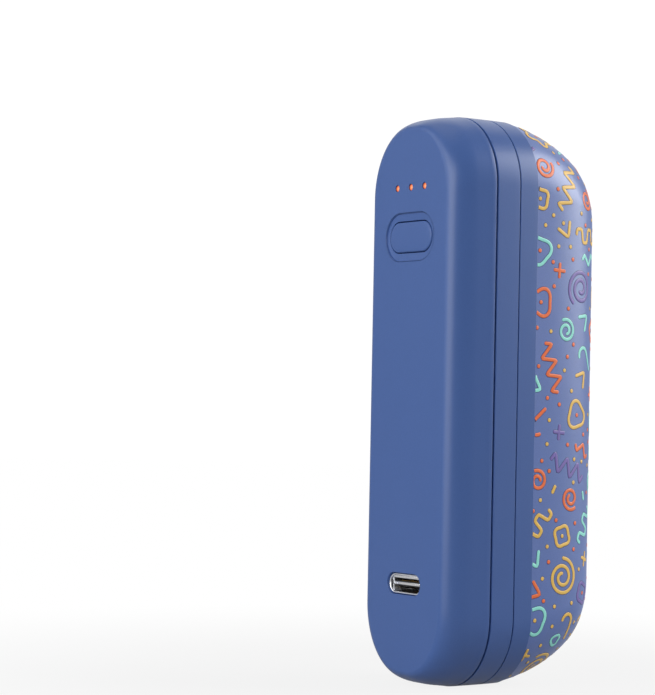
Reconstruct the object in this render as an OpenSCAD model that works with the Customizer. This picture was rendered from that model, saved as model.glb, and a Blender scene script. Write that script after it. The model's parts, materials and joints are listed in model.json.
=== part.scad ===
// Pocket hand warmer, standing on its lower end.
// X runs across the width, Y through the depth with the printed dome at the front (-Y)
// and the button, lights and charging socket at the back (+Y), and Z runs up the length.
// The origin is at the middle of the lower end. All lengths are in millimetres.

/* [Body] */
// Height of the whole body, end to end
body_h = 92; // [88:0.5:100]
// Width across the two flat sides
body_w = 26; // [25:0.1:30]
// Width of the flat stretch between the two corners of an end, in the back view
end_flat_w = 2.8; // [1.2:0.1:6]
// Depth of the back casing, from its flat face to the dark seam
casing_t = 7.8; // [6.8:0.1:9]
// Depth of the plain band between the two seams
band_t = 4.7; // [4.2:0.1:7]
// Depth of the plain frame in front of the fine seam
frame_t = 3.5; // [3:0.1:5]
// Depth of the printed dome in front of the frame
dome_t = 16.5; // [15.5:0.1:20]

/* [Walls and seams] */
// Thickness of the moulded walls
wall_t = 1.6; // [1.2:0.05:1.8]
// Width of the dark groove between the back casing and the band
dark_seam_w = 0.4; // [0.2:0.05:0.6]
// Width of the fine groove between the band and the frame
fine_seam_w = 0.16; // [0.1:0.02:0.3]
// Depth of the fine groove
fine_seam_deep = 0.35; // [0.2:0.05:0.6]
// How far a wall's tongue reaches into its neighbour
tongue_l = 1.5; // [1:0.1:1.8]
// Clearance beside a tongue
tongue_gap = 0.06; // [0.04:0.01:0.12]

/* [Printed dome] */
// Step down from the frame to the printed panel
panel_step = 0.15; // [0.05:0.05:0.4]
// Width of the dome's crown, to which both sides draw in
dome_crown_w = 5.4; // [4:0.1:10]
// How far each end draws in from the frame to the front
dome_end_reach = 13.5; // [10:0.5:18]

/* [Back casing] */
// Draft of the side walls over their whole depth
casing_draft = 0.9; // [0.4:0.1:1.5]
// Depth of the rounding at the back edge
casing_round_t = 6.2; // [4:0.1:6.4]
// Width of the rounding along the sides
casing_round_w = 2.4; // [1:0.1:3]
// Width of the rounding at the two ends
casing_round_h = 1.7; // [1:0.05:3]
// Length of a snap clip along the side
clip_l = 5; // [3:0.5:8]
// Thickness of a snap clip
clip_t = 0.9; // [0.7:0.05:1.2]
// How far a clip's barb stands out
clip_barb = 0.5; // [0.3:0.05:0.8]
// Height of a clip's barb
clip_barb_t = 1.2; // [0.8:0.1:1.6]
// Distance of the clips from the two ends
clip_in = 18; // [17:0.5:19]

/* [Button] */
// Distance of the button's centre from the upper end
button_down = 19.75; // [18.5:0.05:26]
// Distance of the dished recess's ends from the edges of the flat back face
recess_in = 3.1; // [2:0.1:3.2]
// Width of the recess, along the body
recess_w = 7.7; // [6.5:0.1:8.5]
// Depth of the recess
recess_deep = 0.3; // [0.2:0.05:0.8]
// Width of the dish between the cap's ends and the recess's ends
dish_w = 0.85; // [0.6:0.05:2]
// Width of the button cap, along the body
cap_w = 4.9; // [4:0.05:5.6]
// How far the cap's top lies below the back face
cap_below = 0.1; // [0:0.05:0.3]
// Gap round the cap in its hole
cap_gap = 0.15; // [0.1:0.05:0.25]
// Width of the flange that keeps the cap in
cap_flange_w = 0.9; // [0.5:0.1:1.2]
// Thickness of that flange
cap_flange_t = 0.7; // [0.5:0.05:1]
// Gap between the flange and the casing above it
cap_rest_gap = 0.05; // [0.03:0.01:0.1]
// Diameter of the post that presses the switch
cap_post_d = 3; // [2:0.1:4]
// Travel of the button
button_travel = 0.35; // [0.2:0.05:0.4]
// Wall of the collar that guides the flange
collar_wall = 0.8; // [0.6:0.1:1.2]
// Height of that collar
collar_t = 1.5; // [1.2:0.1:2]

/* [Switch] */
// Side of the switch's square body
switch_w = 4.5; // [3.5:0.1:6]
// Height of the switch's body
switch_t = 2.5; // [2:0.1:2.8]
// Diameter of the switch's plunger
plunger_d = 2.2; // [1.6:0.1:2.8]
// Gap round the plunger
plunger_gap = 0.05; // [0.03:0.01:0.1]
// Length of the plunger inside the body at rest
plunger_in = 0.6; // [0.4:0.05:0.9]
// Length of the plunger outside the body at rest
plunger_out = 1.2; // [0.8:0.05:1.4]

/* [Indicator lights] */
// Distance of the lights from the upper end
light_down = 11.75; // [11:0.05:13]
// Distance between neighbouring lights
light_pitch = 3.75; // [3.6:0.05:4.2]
// Diameter of the windows
window_d = 1.1; // [0.8:0.05:1.4]
// Gap round a light pipe
pipe_gap = 0.05; // [0.03:0.01:0.08]
// Diameter of a pipe's thick inner length
pipe_d = 1.9; // [1.7:0.1:2.2]
// How far the pipes end below the back face
pipe_below = 0.05; // [0.05:0.05:0.3]
// Wall of the collars that hold the pipes
pipe_collar_wall = 0.6; // [0.5:0.05:0.7]
// Depth of those collars
pipe_collar_t = 2.5; // [1.5:0.1:3]
// Gap between a light and its pipe
light_gap = 0.2; // [0.1:0.05:0.4]
// Length of a light's package
light_l = 1.6; // [1.2:0.1:2]
// Width of a light's package
light_w = 0.8; // [0.6:0.1:1.2]
// Height of a light's package
light_t = 0.6; // [0.4:0.05:0.8]

/* [Charging socket] */
// Height of the socket's centre above the lower end
socket_z = 16.5; // [14:0.1:19]
// Outer length of the metal shell, the standard size of a type C socket
socket_l = 8.94; // [8.9:0.01:9]
// Outer width of the metal shell
socket_w = 3.26; // [3.2:0.01:3.3]
// Thickness of the shell's metal
socket_wall = 0.3; // [0.25:0.01:0.35]
// Gap round the shell in the casing
socket_gap = 0.1; // [0.05:0.05:0.2]
// How far the shell's mouth lies below the back face
socket_below = 0.35; // [0:0.05:0.5]
// Length of the tongue's section
tongue_w = 6.69; // [6.6:0.01:6.8]
// Thickness of the tongue
tongue_t = 0.7; // [0.6:0.01:0.75]
// How far the tongue's tip lies below the mouth
tongue_below = 0.6; // [0.4:0.05:0.8]
// Gap round the block that holds the tongue
socket_block_gap = 0.05; // [0.02:0.01:0.1]
// Thickness of the block that holds the tongue
socket_block_t = 1; // [0.8:0.1:1.5]
// Distance between neighbouring contacts
contact_pitch = 0.5; // [0.45:0.01:0.55]
// Width of a contact
contact_w = 0.25; // [0.2:0.01:0.3]
// Thickness of a contact
contact_t = 0.08; // [0.05:0.01:0.12]
// How far the contacts end short of the tongue's tip
contact_short = 0.8; // [0.5:0.1:1.2]

/* [Circuit board] */
// Depth of the board's back face below the outer back face
board_deep = 6.6; // [6.4:0.1:7.4]
// Thickness of the board
board_t = 1; // [0.8:0.1:1.2]
// Gap between the board and the side walls
board_side_gap = 1.5; // [1.1:0.1:2.1]
// Height of the board's lower edge
board_low = 10.2; // [10:0.1:11]
// Distance of the board's upper edge from the upper end
board_down = 10; // [9.8:0.1:10.8]
// Radius of the board's corners
board_r = 4; // [2:0.5:6]
// Side of the charge controller
charger_w = 4; // [3:0.5:5]
// Height of the two controllers
chip_t = 0.9; // [0.6:0.1:1.2]
// Length of the heater controller
driver_l = 5; // [4:0.5:6]
// Width of the heater controller
driver_w = 4; // [3:0.5:5]
// Side of the coil's square core
coil_w = 5; // [4:0.5:6]
// Height of the coil's core
coil_t = 2.8; // [2:0.1:3.5]
// Length of a capacitor
capacitor_l = 2; // [1.6:0.1:3.2]
// Width of a capacitor
capacitor_w = 1.2; // [0.8:0.1:1.6]
// Height of a capacitor
capacitor_t = 1; // [0.6:0.1:1.2]
// Distance between neighbouring capacitors
capacitor_pitch = 3.2; // [2.4:0.1:3.4]
// Distance of a capacitor from the middle
capacitor_x = 5.6; // [5:0.1:6.5]

/* [Battery] */
// Gap between the cell and the side walls, which leaves a sleeved cell of 18.4
cell_side_gap = 2.2; // [2.1:0.1:3]
// Depth between the cell and the front of the dome
cell_front_room = 4.7; // [4.5:0.1:8]
// Gap between the cell and the end walls, which leaves a cell 65 long
cell_end_gap = 11.9; // [11.5:0.1:16]
// Thickness of the sleeve
sleeve_t = 0.15; // [0.1:0.01:0.25]
// Gap between the cell's can and its sleeve
sleeve_gap = 0.03; // [0.02:0.01:0.05]
// Width of the sleeve's shrunk lip at each end
sleeve_lip = 1.6; // [1:0.1:2.5]
// Radius of the can's rolled edges
can_round = 0.8; // [0.4:0.1:1.2]
// Depth of the groove below the can's crimp
groove_deep = 0.5; // [0.3:0.05:0.8]
// Width of that groove
groove_w = 1.2; // [0.8:0.1:1.6]
// Distance of the groove from the cell's upper end
groove_down = 3; // [2.5:0.1:4]
// Width of the insulating ring round the positive cap
ring_w = 2.47; // [2:0.01:3]
// Height of the positive cap above the can
pole_t = 0.5; // [0.3:0.05:0.8]
// Gap round the positive cap in its insulating ring
ring_gap = 0.03; // [0.02:0.01:0.05]
// Distance of the insulating ring from the sleeve's lip
ring_in = 1.6; // [1:0.1:2]
// Thickness of the insulating ring
ring_t = 0.3; // [0.2:0.05:0.4]
// Width of a nickel tab
tab_w = 4; // [3:0.5:5]
// Thickness of a nickel tab
tab_t = 0.2; // [0.15:0.01:0.3]
// Distance of a tab's end from the sleeve's lip
tab_in = 1.2; // [1:0.1:2]
// Distance of a battery lead from that end of its tab
tab_joint = 2.4; // [1:0.1:2.6]
// Gap between the cell and the board
cell_gap = 1.5; // [1.3:0.1:2]
// Diameter of a battery lead's insulation
lead_d = 1.2; // [0.8:0.1:1.3]
// Distance of the leads' solder joints from the board's edge
lead_in = 1.4; // [1:0.1:1.6]
// How sharply the battery leads bend, as the length of their straight start
lead_bend = 3; // [2:0.5:4]

/* [Battery cradle] */
// Thickness of the cradle's walls
cradle_wall = 1.2; // [1:0.1:1.5]
// Gap round the cradle inside the band
cradle_gap = 0.3; // [0.2:0.05:0.5]
// Gap between the cradle and the cell
saddle_gap = 0.1; // [0.05:0.05:0.2]
// Depth of the cradle's side rails
rail_t = 8; // [6:0.5:8]
// Depth of the ribs and of the end walls
rib_t = 6.3; // [5:0.1:7]
// Distance of the cradle's end walls from the cell's ends
cradle_end_gap = 1; // [0.8:0.1:1.5]
// Width of the notch that lets a lead past an end wall
lead_notch_w = 8; // [7.6:0.2:8.4]
// Diameter of the posts that carry the board
post_d = 3.2; // [2.8:0.1:3.4]
// Length of those posts
post_t = 3.6; // [3:0.1:3.8]
// Distance of the posts from the board's side edges
post_in = 2; // [1.8:0.1:2.2]
// Height of the lower posts
post_low = 23; // [22.5:0.5:24]
// Distance of the upper posts from the upper end
post_down = 27.5; // [26.5:0.5:29]

/* [Heater] */
// Gap between the dome and the heat spreader, filled by adhesive
glue_t = 0.1; // [0.05:0.05:0.2]
// Thickness of the heat spreader's sheet
spreader_t = 0.5; // [0.3:0.05:0.8]
// Thickness of the heater film
film_t = 0.2; // [0.1:0.05:0.3]
// Gap between the film and the spreader, filled by adhesive
film_gap = 0.03; // [0.02:0.01:0.05]
// Distance of the heater film from the two ends
film_in_end = 19; // [18:0.5:26]
// How far the foam pad ends short of the cell
foam_short = 12.5; // [10:0.5:17]
// How far the foam pad stays inside the cell's sides
foam_side_short = 5.7; // [5:0.1:6.5]
// Gap on each side of the foam pad
foam_gap = 0.15; // [0.1:0.05:0.3]
// Diameter of the temperature sensor's bead
bead_d = 1.3; // [1:0.1:1.4]
// Length of the bead
bead_l = 2.4; // [2:0.1:3]
// Distance of the bead from the foam pad
bead_gap = 2.8; // [1:0.1:3.4]
// Diameter of a heater lead's insulation
heater_lead_d = 1; // [0.8:0.1:1.1]
// Distance of a heater lead's solder joint from the middle
heater_lead_x = 2.8; // [2.6:0.1:2.9]
// Distance of its other end from the middle
heater_joint_x = 2.5; // [2:0.1:3]
// Height of the leads' highest point above the cell
heater_lead_over = 5; // [4:0.5:5.5]
// How gently the heater leads bend behind the cell's end
heater_lead_bend = 5; // [4:0.5:6]
// How gently they bend in front of it
heater_lead_sweep = 9; // [8:0.5:10]
// Gap between a heater lead's end and the film
heater_lead_gap = 0.1; // [0.05:0.05:0.2]
// Length of a heater lead that lies on the film
heater_lead_l = 2; // [1:0.5:4]

/* [Screws] */
// Diameter of the screws' shanks
screw_d = 1.9; // [1.6:0.05:2]
// Gap round a shank
screw_gap = 0.05; // [0.03:0.01:0.08]
// Gap round a shank where it passes a clearance hole
screw_free_gap = 0.15; // [0.1:0.05:0.25]
// Diameter of the screws' heads
head_d = 3.5; // [3:0.1:3.8]
// Height of the screws' heads
head_t = 1; // [0.8:0.1:1.3]
// Diameter of the cross recess in a head
drive_d = 1.8; // [1.4:0.1:2.2]
// Width of a slot of the cross
drive_w = 0.45; // [0.3:0.05:0.6]
// Depth of the cross recess
drive_deep = 0.6; // [0.4:0.05:0.8]
// Length of a board screw's shank
board_screw_l = 4; // [3.6:0.1:4.2]
// Length of a frame screw's shank
frame_screw_l = 6.2; // [5.5:0.1:6.4]
// Diameter of the bosses and lugs round the frame screws
lug_d = 4.2; // [3.8:0.1:4.4]
// Distance between the two columns of frame screws
lug_x_pitch = 11; // [10:0.5:12]
// Distance of the frame screws from the two ends
lug_in = 7.5; // [7:0.1:7.6]
// Depth of the boss inside the frame
boss_t = 3.3; // [2.5:0.1:3.4]
// Thickness of the lug inside the band
band_lug_t = 1.2; // [1:0.1:1.5]
// Thickness of the lug on the cradle
cradle_lug_t = 2.2; // [1.6:0.1:2.3]

/* [Hidden] */

$fn = 48;
// Steps in a quarter corner, across the dome and across the casing's rounding
corner_steps = 12;
dome_steps = 15;
liner_steps = 8;
casing_steps = 9;
inner_steps = 6;
// How square the dome's shoulder is, beside the frame and at the front
side_start_power = 3.3;
side_end_power = 2.1;
end_start_power = 1.2;
end_end_power = 2.5;
// Share of the dome's depth at which the heat spreader begins
spreader_start_share = 0.45;
// Step of the heat spreader's rings at which the heater film begins
film_first_step = 4;
// Steps along a lead's curve
lead_steps = 10;
// Places of the board's parts, as shares of the way from the socket to the button
charger_share = 0.225;
coil_share = 0.387;
capacitor_share = 0.477;
driver_share = 0.746;
// Number of contacts on each face of the socket's tongue
contact_count = 12;
// Rows of capacitors, and stations of the cradle's ribs between its end walls
capacitor_rows = 4;
rib_count = 3;
// Overrun of a cut past the face that it opens
over = 0.5;

half_w = body_w / 2;
half_h = body_h / 2;
mid_z = half_h;
corner_r = half_w - end_flat_w / 2;
recess_l = body_w - 2 * (casing_draft + casing_round_w + recess_in);
cap_l = recess_l - 2 * dish_w;
dome_side_reach = half_w - dome_crown_w / 2;
body_t = casing_t + band_t + frame_t + dome_t;
back_y = body_t / 2;
seam_y = back_y - casing_t;
fine_y = seam_y - band_t;
rim_y = fine_y - frame_t;
front_y = rim_y - dome_t;
ceiling_y = back_y - wall_t;
tongue_wall = wall_t / 2 - tongue_gap;

button_z = body_h - button_down;
light_z = body_h - light_down;
board_w = body_w - 2 * (wall_t + board_side_gap);
board_high = body_h - board_down;
board_back_y = back_y - board_deep;
board_front_y = board_back_y - board_t;
post_x_pitch = board_w - 2 * post_in;
post_high = body_h - post_down;
// The largest sleeved cell that the width and the depth leave room for
cell_width_room = body_w - 2 * (wall_t + cell_side_gap);
cell_depth_room = board_front_y - cell_gap - front_y - cell_front_room;
cell_d = min(cell_width_room, cell_depth_room);
cell_r = cell_d / 2;
cell_l = body_h - 2 * (wall_t + cell_end_gap);
cell_y = board_front_y - cell_gap - cell_r;
cell_z = mid_z;
cell_low = cell_z - cell_l / 2;
cell_high = cell_z + cell_l / 2;
ring_d = 2 * (cell_r - sleeve_lip - ring_in);
pole_d = ring_d - 2 * (ring_w + ring_gap);
tab_end_y = cell_y + cell_r - sleeve_lip - tab_in;
foam_w = cell_d - 2 * foam_side_short;
film_l = body_h - 2 * film_in_end;
foam_l = cell_l - 2 * foam_short;
bead_z = cell_z + foam_l / 2 + bead_gap + bead_l / 2;
spreader_out = panel_step + wall_t + glue_t;
spreader_in = spreader_out + spreader_t;
film_out = spreader_in + film_gap;
film_in = film_out + film_t;
film_y = front_y + film_in - panel_step;

cap_top_y = back_y - cap_below;
flange_top_y = ceiling_y - cap_rest_gap;
flange_low_y = flange_top_y - cap_flange_t;
plunger_low_y = board_back_y + switch_t - plunger_in;
plunger_top_y = board_back_y + switch_t + plunger_out;
saddle_r = cell_r + saddle_gap;
rail_x = half_w - wall_t - cradle_gap;
wall_low = cell_low - cradle_end_gap - cradle_wall;
wall_high = cell_high + cradle_end_gap;
rib_low_y = board_front_y - rib_t;
clip_out_x = half_w - wall_t - tongue_gap;
clip_in_x = clip_out_x - clip_t;
clip_low_y = seam_y - band_t / 2 - clip_barb_t;
lug_low_z = lug_in;
lug_high_z = body_h - lug_in;
cradle_lug_y = fine_y + fine_seam_w + band_lug_t;

// Colours as the photograph shows them, and plain ones for what is hidden
shell_blue = [0.29, 0.40, 0.62];
panel_blue = [0.24, 0.35, 0.58];
light_orange = [1.0, 0.60, 0.42];
steel = [0.78, 0.77, 0.74];
dark_resin = [0.14, 0.14, 0.15];
board_green = [0.10, 0.34, 0.22];
gold = [0.83, 0.66, 0.30];
chip_grey = [0.20, 0.20, 0.22];
ceramic = [0.72, 0.62, 0.50];
nickel = [0.74, 0.74, 0.72];
sleeve_green = [0.22, 0.52, 0.42];
paper_white = [0.92, 0.91, 0.87];
red = [0.78, 0.12, 0.10];
black = [0.07, 0.07, 0.08];
cradle_grey = [0.55, 0.57, 0.60];
foam_grey = [0.30, 0.30, 0.32];
aluminium = [0.80, 0.81, 0.83];
film_amber = [0.82, 0.50, 0.16];

// Inset of the dome at a share of its depth, as a share of its full reach
function rise(v, start, end) = 1 - pow(max(0, 1 - pow(v, start)), 1 / end);

// A closed rounded rectangle with elliptical corners, as points in x and z
function outline(a, b, ra, rb) = [
    for (q = [0:3], i = [0:corner_steps])
        let (t = 90 * (q + i / corner_steps), sx = (q == 0 || q == 3) ? 1 : -1, sz = q < 2 ? 1 : -1)
            [sx * (a - ra) + ra * cos(t), sz * (b - rb) + rb * sin(t)]
];

// The body's outline drawn in evenly by a wall w, for the laps between the shells
function lap_ring(y, w) =
    [for (p = outline(half_w - w, half_h - w, corner_r - w, corner_r - w)) [p[0], y, mid_z + p[1]]];

// The body's outline drawn in by ix at the sides and iz at the ends, then shrunk by a wall w
function body_ring(y, ix, iz, w) =
    let (kx = (half_w - ix) / half_w * (half_w - w) / half_w,
         kz = (half_h - iz) / half_h * (half_h - w) / half_h)
    [for (p = outline(half_w * kx, half_h * kz, corner_r * kx, corner_r * kz)) [p[0], y, mid_z + p[1]]];

// A ring of the dome: v runs from 0 at the frame to 1 at the front
function dome_ring(v, w, depth) =
    body_ring(rim_y - v * depth, dome_side_reach * rise(v, side_start_power, side_end_power),
        dome_end_reach * rise(v, end_start_power, end_end_power), w);

// Shares that crowd towards the far end, from a first share up to 1
function crowded(first, steps) = [for (i = [0:steps]) first + (1 - first) * sin(90 * i / steps)];

// The rounding's bulge at a share of the casing's depth
function casing_bulge(s) =
    let (u = max(0, s * casing_t - casing_t + casing_round_t) / casing_round_t)
    1 - sqrt(max(0, 1 - u * u));

// A ring of the back casing: s runs from 0 at the seam to 1 at the back face
function casing_ring(s, w) =
    body_ring(seam_y + s * (casing_t - w), casing_draft * s + casing_round_w * casing_bulge(s),
        casing_draft * s + casing_round_h * casing_bulge(s), w);

function reversed(rows) = [for (i = [len(rows) - 1:-1:0]) rows[i]];

// A closed skin over rings of equally many points, with the first and last ring filled in
module skin(rings) {
    n = len(rings[0]);
    last = (len(rings) - 1) * n;
    points = [for (r = rings) for (p = r) p];
    bands = [for (k = [0:len(rings) - 2], i = [0:n - 1], half = [0, 1])
        let (j = (i + 1) % n, a = k * n)
        half == 0 ? [a + i, a + j, a + n + j] : [a + i, a + n + j, a + n + i]];
    polyhedron(points, concat(
        [[for (i = [n - 1:-1:0]) i]], bands, [[for (i = [0:n - 1]) last + i]]), convexity = 6);
}

// A cubic curve from a to d, leaving towards b and arriving from c
function curve(a, b, c, d, steps) = [
    for (i = [0:steps])
        let (t = i / steps, u = 1 - t)
            u * u * u * a + 3 * u * u * t * b + 3 * u * t * t * c + t * t * t * d
];

// A round tube swept along a route, with its rings square to the route
module tube(route, d, sides = 8) {
    last = len(route) - 1;
    skin([for (i = [0:last])
        let (way = route[min(i + 1, last)] - route[max(i - 1, 0)],
             t = way / norm(way),
             across = [1, 0, 0] - t * t[0],
             e = across / norm(across),
             f = cross(t, e))
        [for (k = [0:sides - 1])
            let (angle = -360 * k / sides)
            route[i] + d / 2 * (cos(angle) * e + sin(angle) * f)]]);
}

// Extrudes a drawing of the back view, x across and z up, from depth y0 up to depth y1
module slab(y0, y1) {
    translate([0, y1, 0]) rotate([90, 0, 0]) linear_extrude(height = y1 - y0) children();
}

module pin(x, z, d, y0, y1) {
    translate([x, y1, z]) rotate([90, 0, 0]) cylinder(d = d, h = y1 - y0);
}

// A box from one corner to the opposite one
module block(low, high) {
    translate(low) cube(high - low);
}

module stadium(l, w) {
    square([l - w, w], center = true);
    for (side = [-1, 1]) translate([side * (l - w) / 2, 0]) circle(d = w);
}

// The body's outline drawn in by a wall w, with true arcs
module body_outline(w) {
    a = half_w - w;
    b = half_h - w;
    r = corner_r - w;
    translate([0, mid_z]) {
        square([2 * a, 2 * (b - r)], center = true);
        square([2 * (a - r), 2 * b], center = true);
        for (sx = [-1, 1], sz = [-1, 1]) translate([sx * (a - r), sz * (b - r)]) circle(r = r);
    }
}

// A ring of the body's wall between two walls' depths
module wall_ring(outer, inner, y0, y1) {
    slab(y0, y1) difference() {
        body_outline(outer);
        body_outline(inner);
    }
}

// A lug against the end wall, at each frame screw
module lugs(y0, y1, d) {
    for (side = [-1, 1], z = [lug_low_z, lug_high_z]) pin(side * lug_x_pitch / 2, z, d, y0, y1);
}

// Webs that join the lugs to the two end walls
module lug_webs(y0, y1) {
    web_w = lug_d / 2;
    for (side = [-1, 1]) {
        x = side * lug_x_pitch / 2;
        block([x - web_w / 2, y0, wall_t / 2], [x + web_w / 2, y1, lug_low_z]);
        block([x - web_w / 2, y0, lug_high_z], [x + web_w / 2, y1, body_h - wall_t / 2]);
    }
}

module back_casing() {
    rim_share = dark_seam_w / 2 / casing_t;
    step_share = tongue_l / (casing_t - wall_t);
    step_y = seam_y + tongue_l;
    rings = concat(
        reversed([for (s = crowded(rim_share, casing_steps)) casing_ring(s, 0)]),
        [lap_ring(seam_y + dark_seam_w / 2, wall_t / 2)],
        [lap_ring(step_y, wall_t / 2)],
        [for (s = crowded(step_share, inner_steps)) casing_ring(s, wall_t)]);
    color(shell_blue) difference() {
        union() {
            skin(reversed(rings));
            slab(ceiling_y - collar_t, ceiling_y + over) translate([0, button_z]) difference() {
                stadium(cap_l + 2 * (cap_flange_w + cap_gap + collar_wall),
                    cap_w + 2 * (cap_flange_w + cap_gap + collar_wall));
                stadium(cap_l + 2 * (cap_flange_w + cap_gap), cap_w + 2 * (cap_flange_w + cap_gap));
            }
            for (i = [-1:1]) pin(i * light_pitch, light_z, pipe_d + 2 * (pipe_gap + pipe_collar_wall),
                ceiling_y - pipe_collar_t, ceiling_y + over);
            for (side = [-1, 1], z = [clip_in, body_h - clip_in]) clip(side, z);
        }
        slab(back_y - recess_deep, back_y + over) translate([0, button_z]) stadium(recess_l, recess_w);
        slab(ceiling_y - over, back_y) translate([0, button_z])
            stadium(cap_l + 2 * cap_gap, cap_w + 2 * cap_gap);
        for (i = [-1:1]) {
            pin(i * light_pitch, light_z, window_d, ceiling_y - over, back_y + over);
            pin(i * light_pitch, light_z, pipe_d + 2 * pipe_gap,
                ceiling_y - pipe_collar_t - over, ceiling_y);
        }
        slab(ceiling_y - over, back_y + over) translate([0, socket_z])
            stadium(socket_l + 2 * socket_gap, socket_w + 2 * socket_gap);
    }
}

// A box across x that is mirrored to the chosen side of the body
module side_block(side, x0, x1, y0, y1, z0, z1) {
    block([min(side * x0, side * x1), y0, z0], [max(side * x0, side * x1), y1, z1]);
}

// A snap clip inside the side wall, with its barb pointing outwards into the band
module clip(side, z) {
    side_block(side, clip_in_x, clip_out_x, clip_low_y, ceiling_y - wall_t / 2,
        z - clip_l / 2, z + clip_l / 2);
    side_block(side, clip_in_x, clip_out_x + clip_barb, clip_low_y, clip_low_y + clip_barb_t,
        z - clip_l / 2, z + clip_l / 2);
}

// The room for a clip in the cradle's rail
module clip_room(side, z) {
    side_block(side, clip_in_x - cradle_wall, rail_x + over, clip_low_y - cradle_gap, board_front_y + over,
        z - clip_l / 2 - cradle_gap, z + clip_l / 2 + cradle_gap);
}

module middle_band() {
    groove_y = fine_y + fine_seam_w;
    color(shell_blue) difference() {
        union() {
            wall_ring(0, wall_t, groove_y, seam_y - dark_seam_w / 2);
            wall_ring(fine_seam_deep, wall_t, fine_y, groove_y);
            wall_ring(wall_t - tongue_wall, wall_t, seam_y - dark_seam_w / 2, seam_y + tongue_l);
            intersection() {
                slab(groove_y, cradle_lug_y) body_outline(wall_t / 2);
                union() {
                    lugs(groove_y, cradle_lug_y, lug_d);
                    lug_webs(groove_y, cradle_lug_y);
                }
            }
        }
        lugs(groove_y - over, cradle_lug_y + over, screw_d + 2 * screw_free_gap);
        for (side = [-1, 1], z = [clip_in, body_h - clip_in]) clip_window(side, z);
    }
}

// The blind window that a clip's barb snaps into
module clip_window(side, z) {
    side_block(side, half_w - wall_t - over, clip_out_x + clip_barb + tongue_gap,
        clip_low_y - tongue_gap, clip_low_y + clip_barb_t + tongue_gap,
        z - clip_l / 2 - tongue_gap, z + clip_l / 2 + tongue_gap);
}

module front_frame() {
    boss_y = fine_y - boss_t;
    color(shell_blue) difference() {
        union() {
            wall_ring(0, panel_step + wall_t / 2, rim_y, fine_y);
            wall_ring(0, wall_t, rim_y + tongue_l, fine_y);
            intersection() {
                slab(boss_y, fine_y) body_outline(wall_t / 2);
                union() {
                    lugs(boss_y, fine_y, lug_d);
                    lug_webs(rim_y + tongue_l, fine_y);
                }
            }
            lugs(fine_y, fine_y + fine_seam_w, lug_d);
        }
        lugs(boss_y - over, fine_y + fine_seam_w + over, screw_d + 2 * screw_gap);
    }
}

module front_panel() {
    lip_w = panel_step + wall_t / 2 + tongue_gap;
    lip_y = rim_y + tongue_l - tongue_gap;
    color(panel_blue) skin(concat(
        reversed([for (v = crowded(0, dome_steps)) dome_ring(v, panel_step, dome_t)]),
        [lap_ring(rim_y, lip_w)],
        [lap_ring(lip_y, lip_w)],
        [lap_ring(lip_y, panel_step + wall_t)],
        [for (v = crowded(0, liner_steps)) dome_ring(v, panel_step + wall_t, dome_t - wall_t)]));
}

module button_cap() {
    color(shell_blue) translate([0, 0, button_z]) {
        slab(flange_low_y, cap_top_y) stadium(cap_l, cap_w);
        slab(flange_low_y, flange_top_y) stadium(cap_l + 2 * cap_flange_w, cap_w + 2 * cap_flange_w);
        pin(0, 0, cap_post_d, plunger_top_y, flange_low_y);
    }
}

module switch_body() {
    color(dark_resin) translate([0, 0, button_z]) difference() {
        slab(board_back_y, board_back_y + switch_t) square([switch_w, switch_w], center = true);
        pin(0, 0, plunger_d + 2 * plunger_gap, plunger_low_y - button_travel - plunger_gap,
            board_back_y + switch_t + over);
    }
}

module switch_plunger() {
    color(black) pin(0, button_z, plunger_d, plunger_low_y, plunger_top_y);
}

module light_pipe(i) {
    low_y = board_back_y + light_t + light_gap;
    color(light_orange) {
        pin(i * light_pitch, light_z, pipe_d, low_y, ceiling_y);
        pin(i * light_pitch, light_z, window_d - 2 * pipe_gap, ceiling_y, back_y - pipe_below);
    }
}

module light(i) {
    x = i * light_pitch;
    color(paper_white) block([x - light_l / 2, board_back_y, light_z - light_w / 2],
        [x + light_l / 2, board_back_y + light_t, light_z + light_w / 2]);
}

module circuit_board() {
    a = board_w / 2 - board_r;
    mid = (board_low + board_high) / 2;
    b = (board_high - board_low) / 2 - board_r;
    color(board_green) difference() {
        slab(board_front_y, board_back_y) translate([0, mid]) {
            square([board_w, 2 * b], center = true);
            square([2 * a, board_high - board_low], center = true);
            for (sx = [-1, 1], sz = [-1, 1]) translate([sx * a, sz * b]) circle(r = board_r);
        }
        board_posts(screw_d + 2 * screw_free_gap, board_front_y - over, board_back_y + over);
    }
}

// One pin at each of the four posts that carry the board
module board_posts(d, y0, y1) {
    for (side = [-1, 1], z = [post_low, post_high]) pin(side * post_x_pitch / 2, z, d, y0, y1);
}

module socket_shell() {
    mouth_y = back_y - socket_below;
    color(steel) difference() {
        slab(board_back_y, mouth_y) translate([0, socket_z]) stadium(socket_l, socket_w);
        slab(board_back_y + socket_wall, mouth_y + over) translate([0, socket_z])
            stadium(socket_l - 2 * socket_wall, socket_w - 2 * socket_wall);
    }
}

module socket_tongue() {
    floor_y = board_back_y + socket_wall;
    block_in = socket_wall + socket_block_gap;
    color(dark_resin) translate([0, 0, socket_z]) {
        slab(floor_y, floor_y + socket_block_t)
            stadium(socket_l - 2 * block_in, socket_w - 2 * block_in);
        slab(floor_y, back_y - socket_below - tongue_below) square([tongue_w, tongue_t], center = true);
    }
}

module socket_contacts() {
    low_y = board_back_y + socket_wall + socket_block_t;
    high_y = back_y - socket_below - tongue_below - contact_short;
    color(gold) for (side = [-1, 1], i = [0:contact_count - 1]) {
        x = (i - (contact_count - 1) / 2) * contact_pitch;
        z = socket_z + side * (tongue_t + contact_t) / 2;
        block([x - contact_w / 2, low_y, z - contact_t / 2], [x + contact_w / 2, high_y, z + contact_t / 2]);
    }
}

// A part soldered flat on the board's back face
module soldered(x, z, l, w, t) {
    block([x - l / 2, board_back_y, z - w / 2], [x + l / 2, board_back_y + t, z + w / 2]);
}

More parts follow.
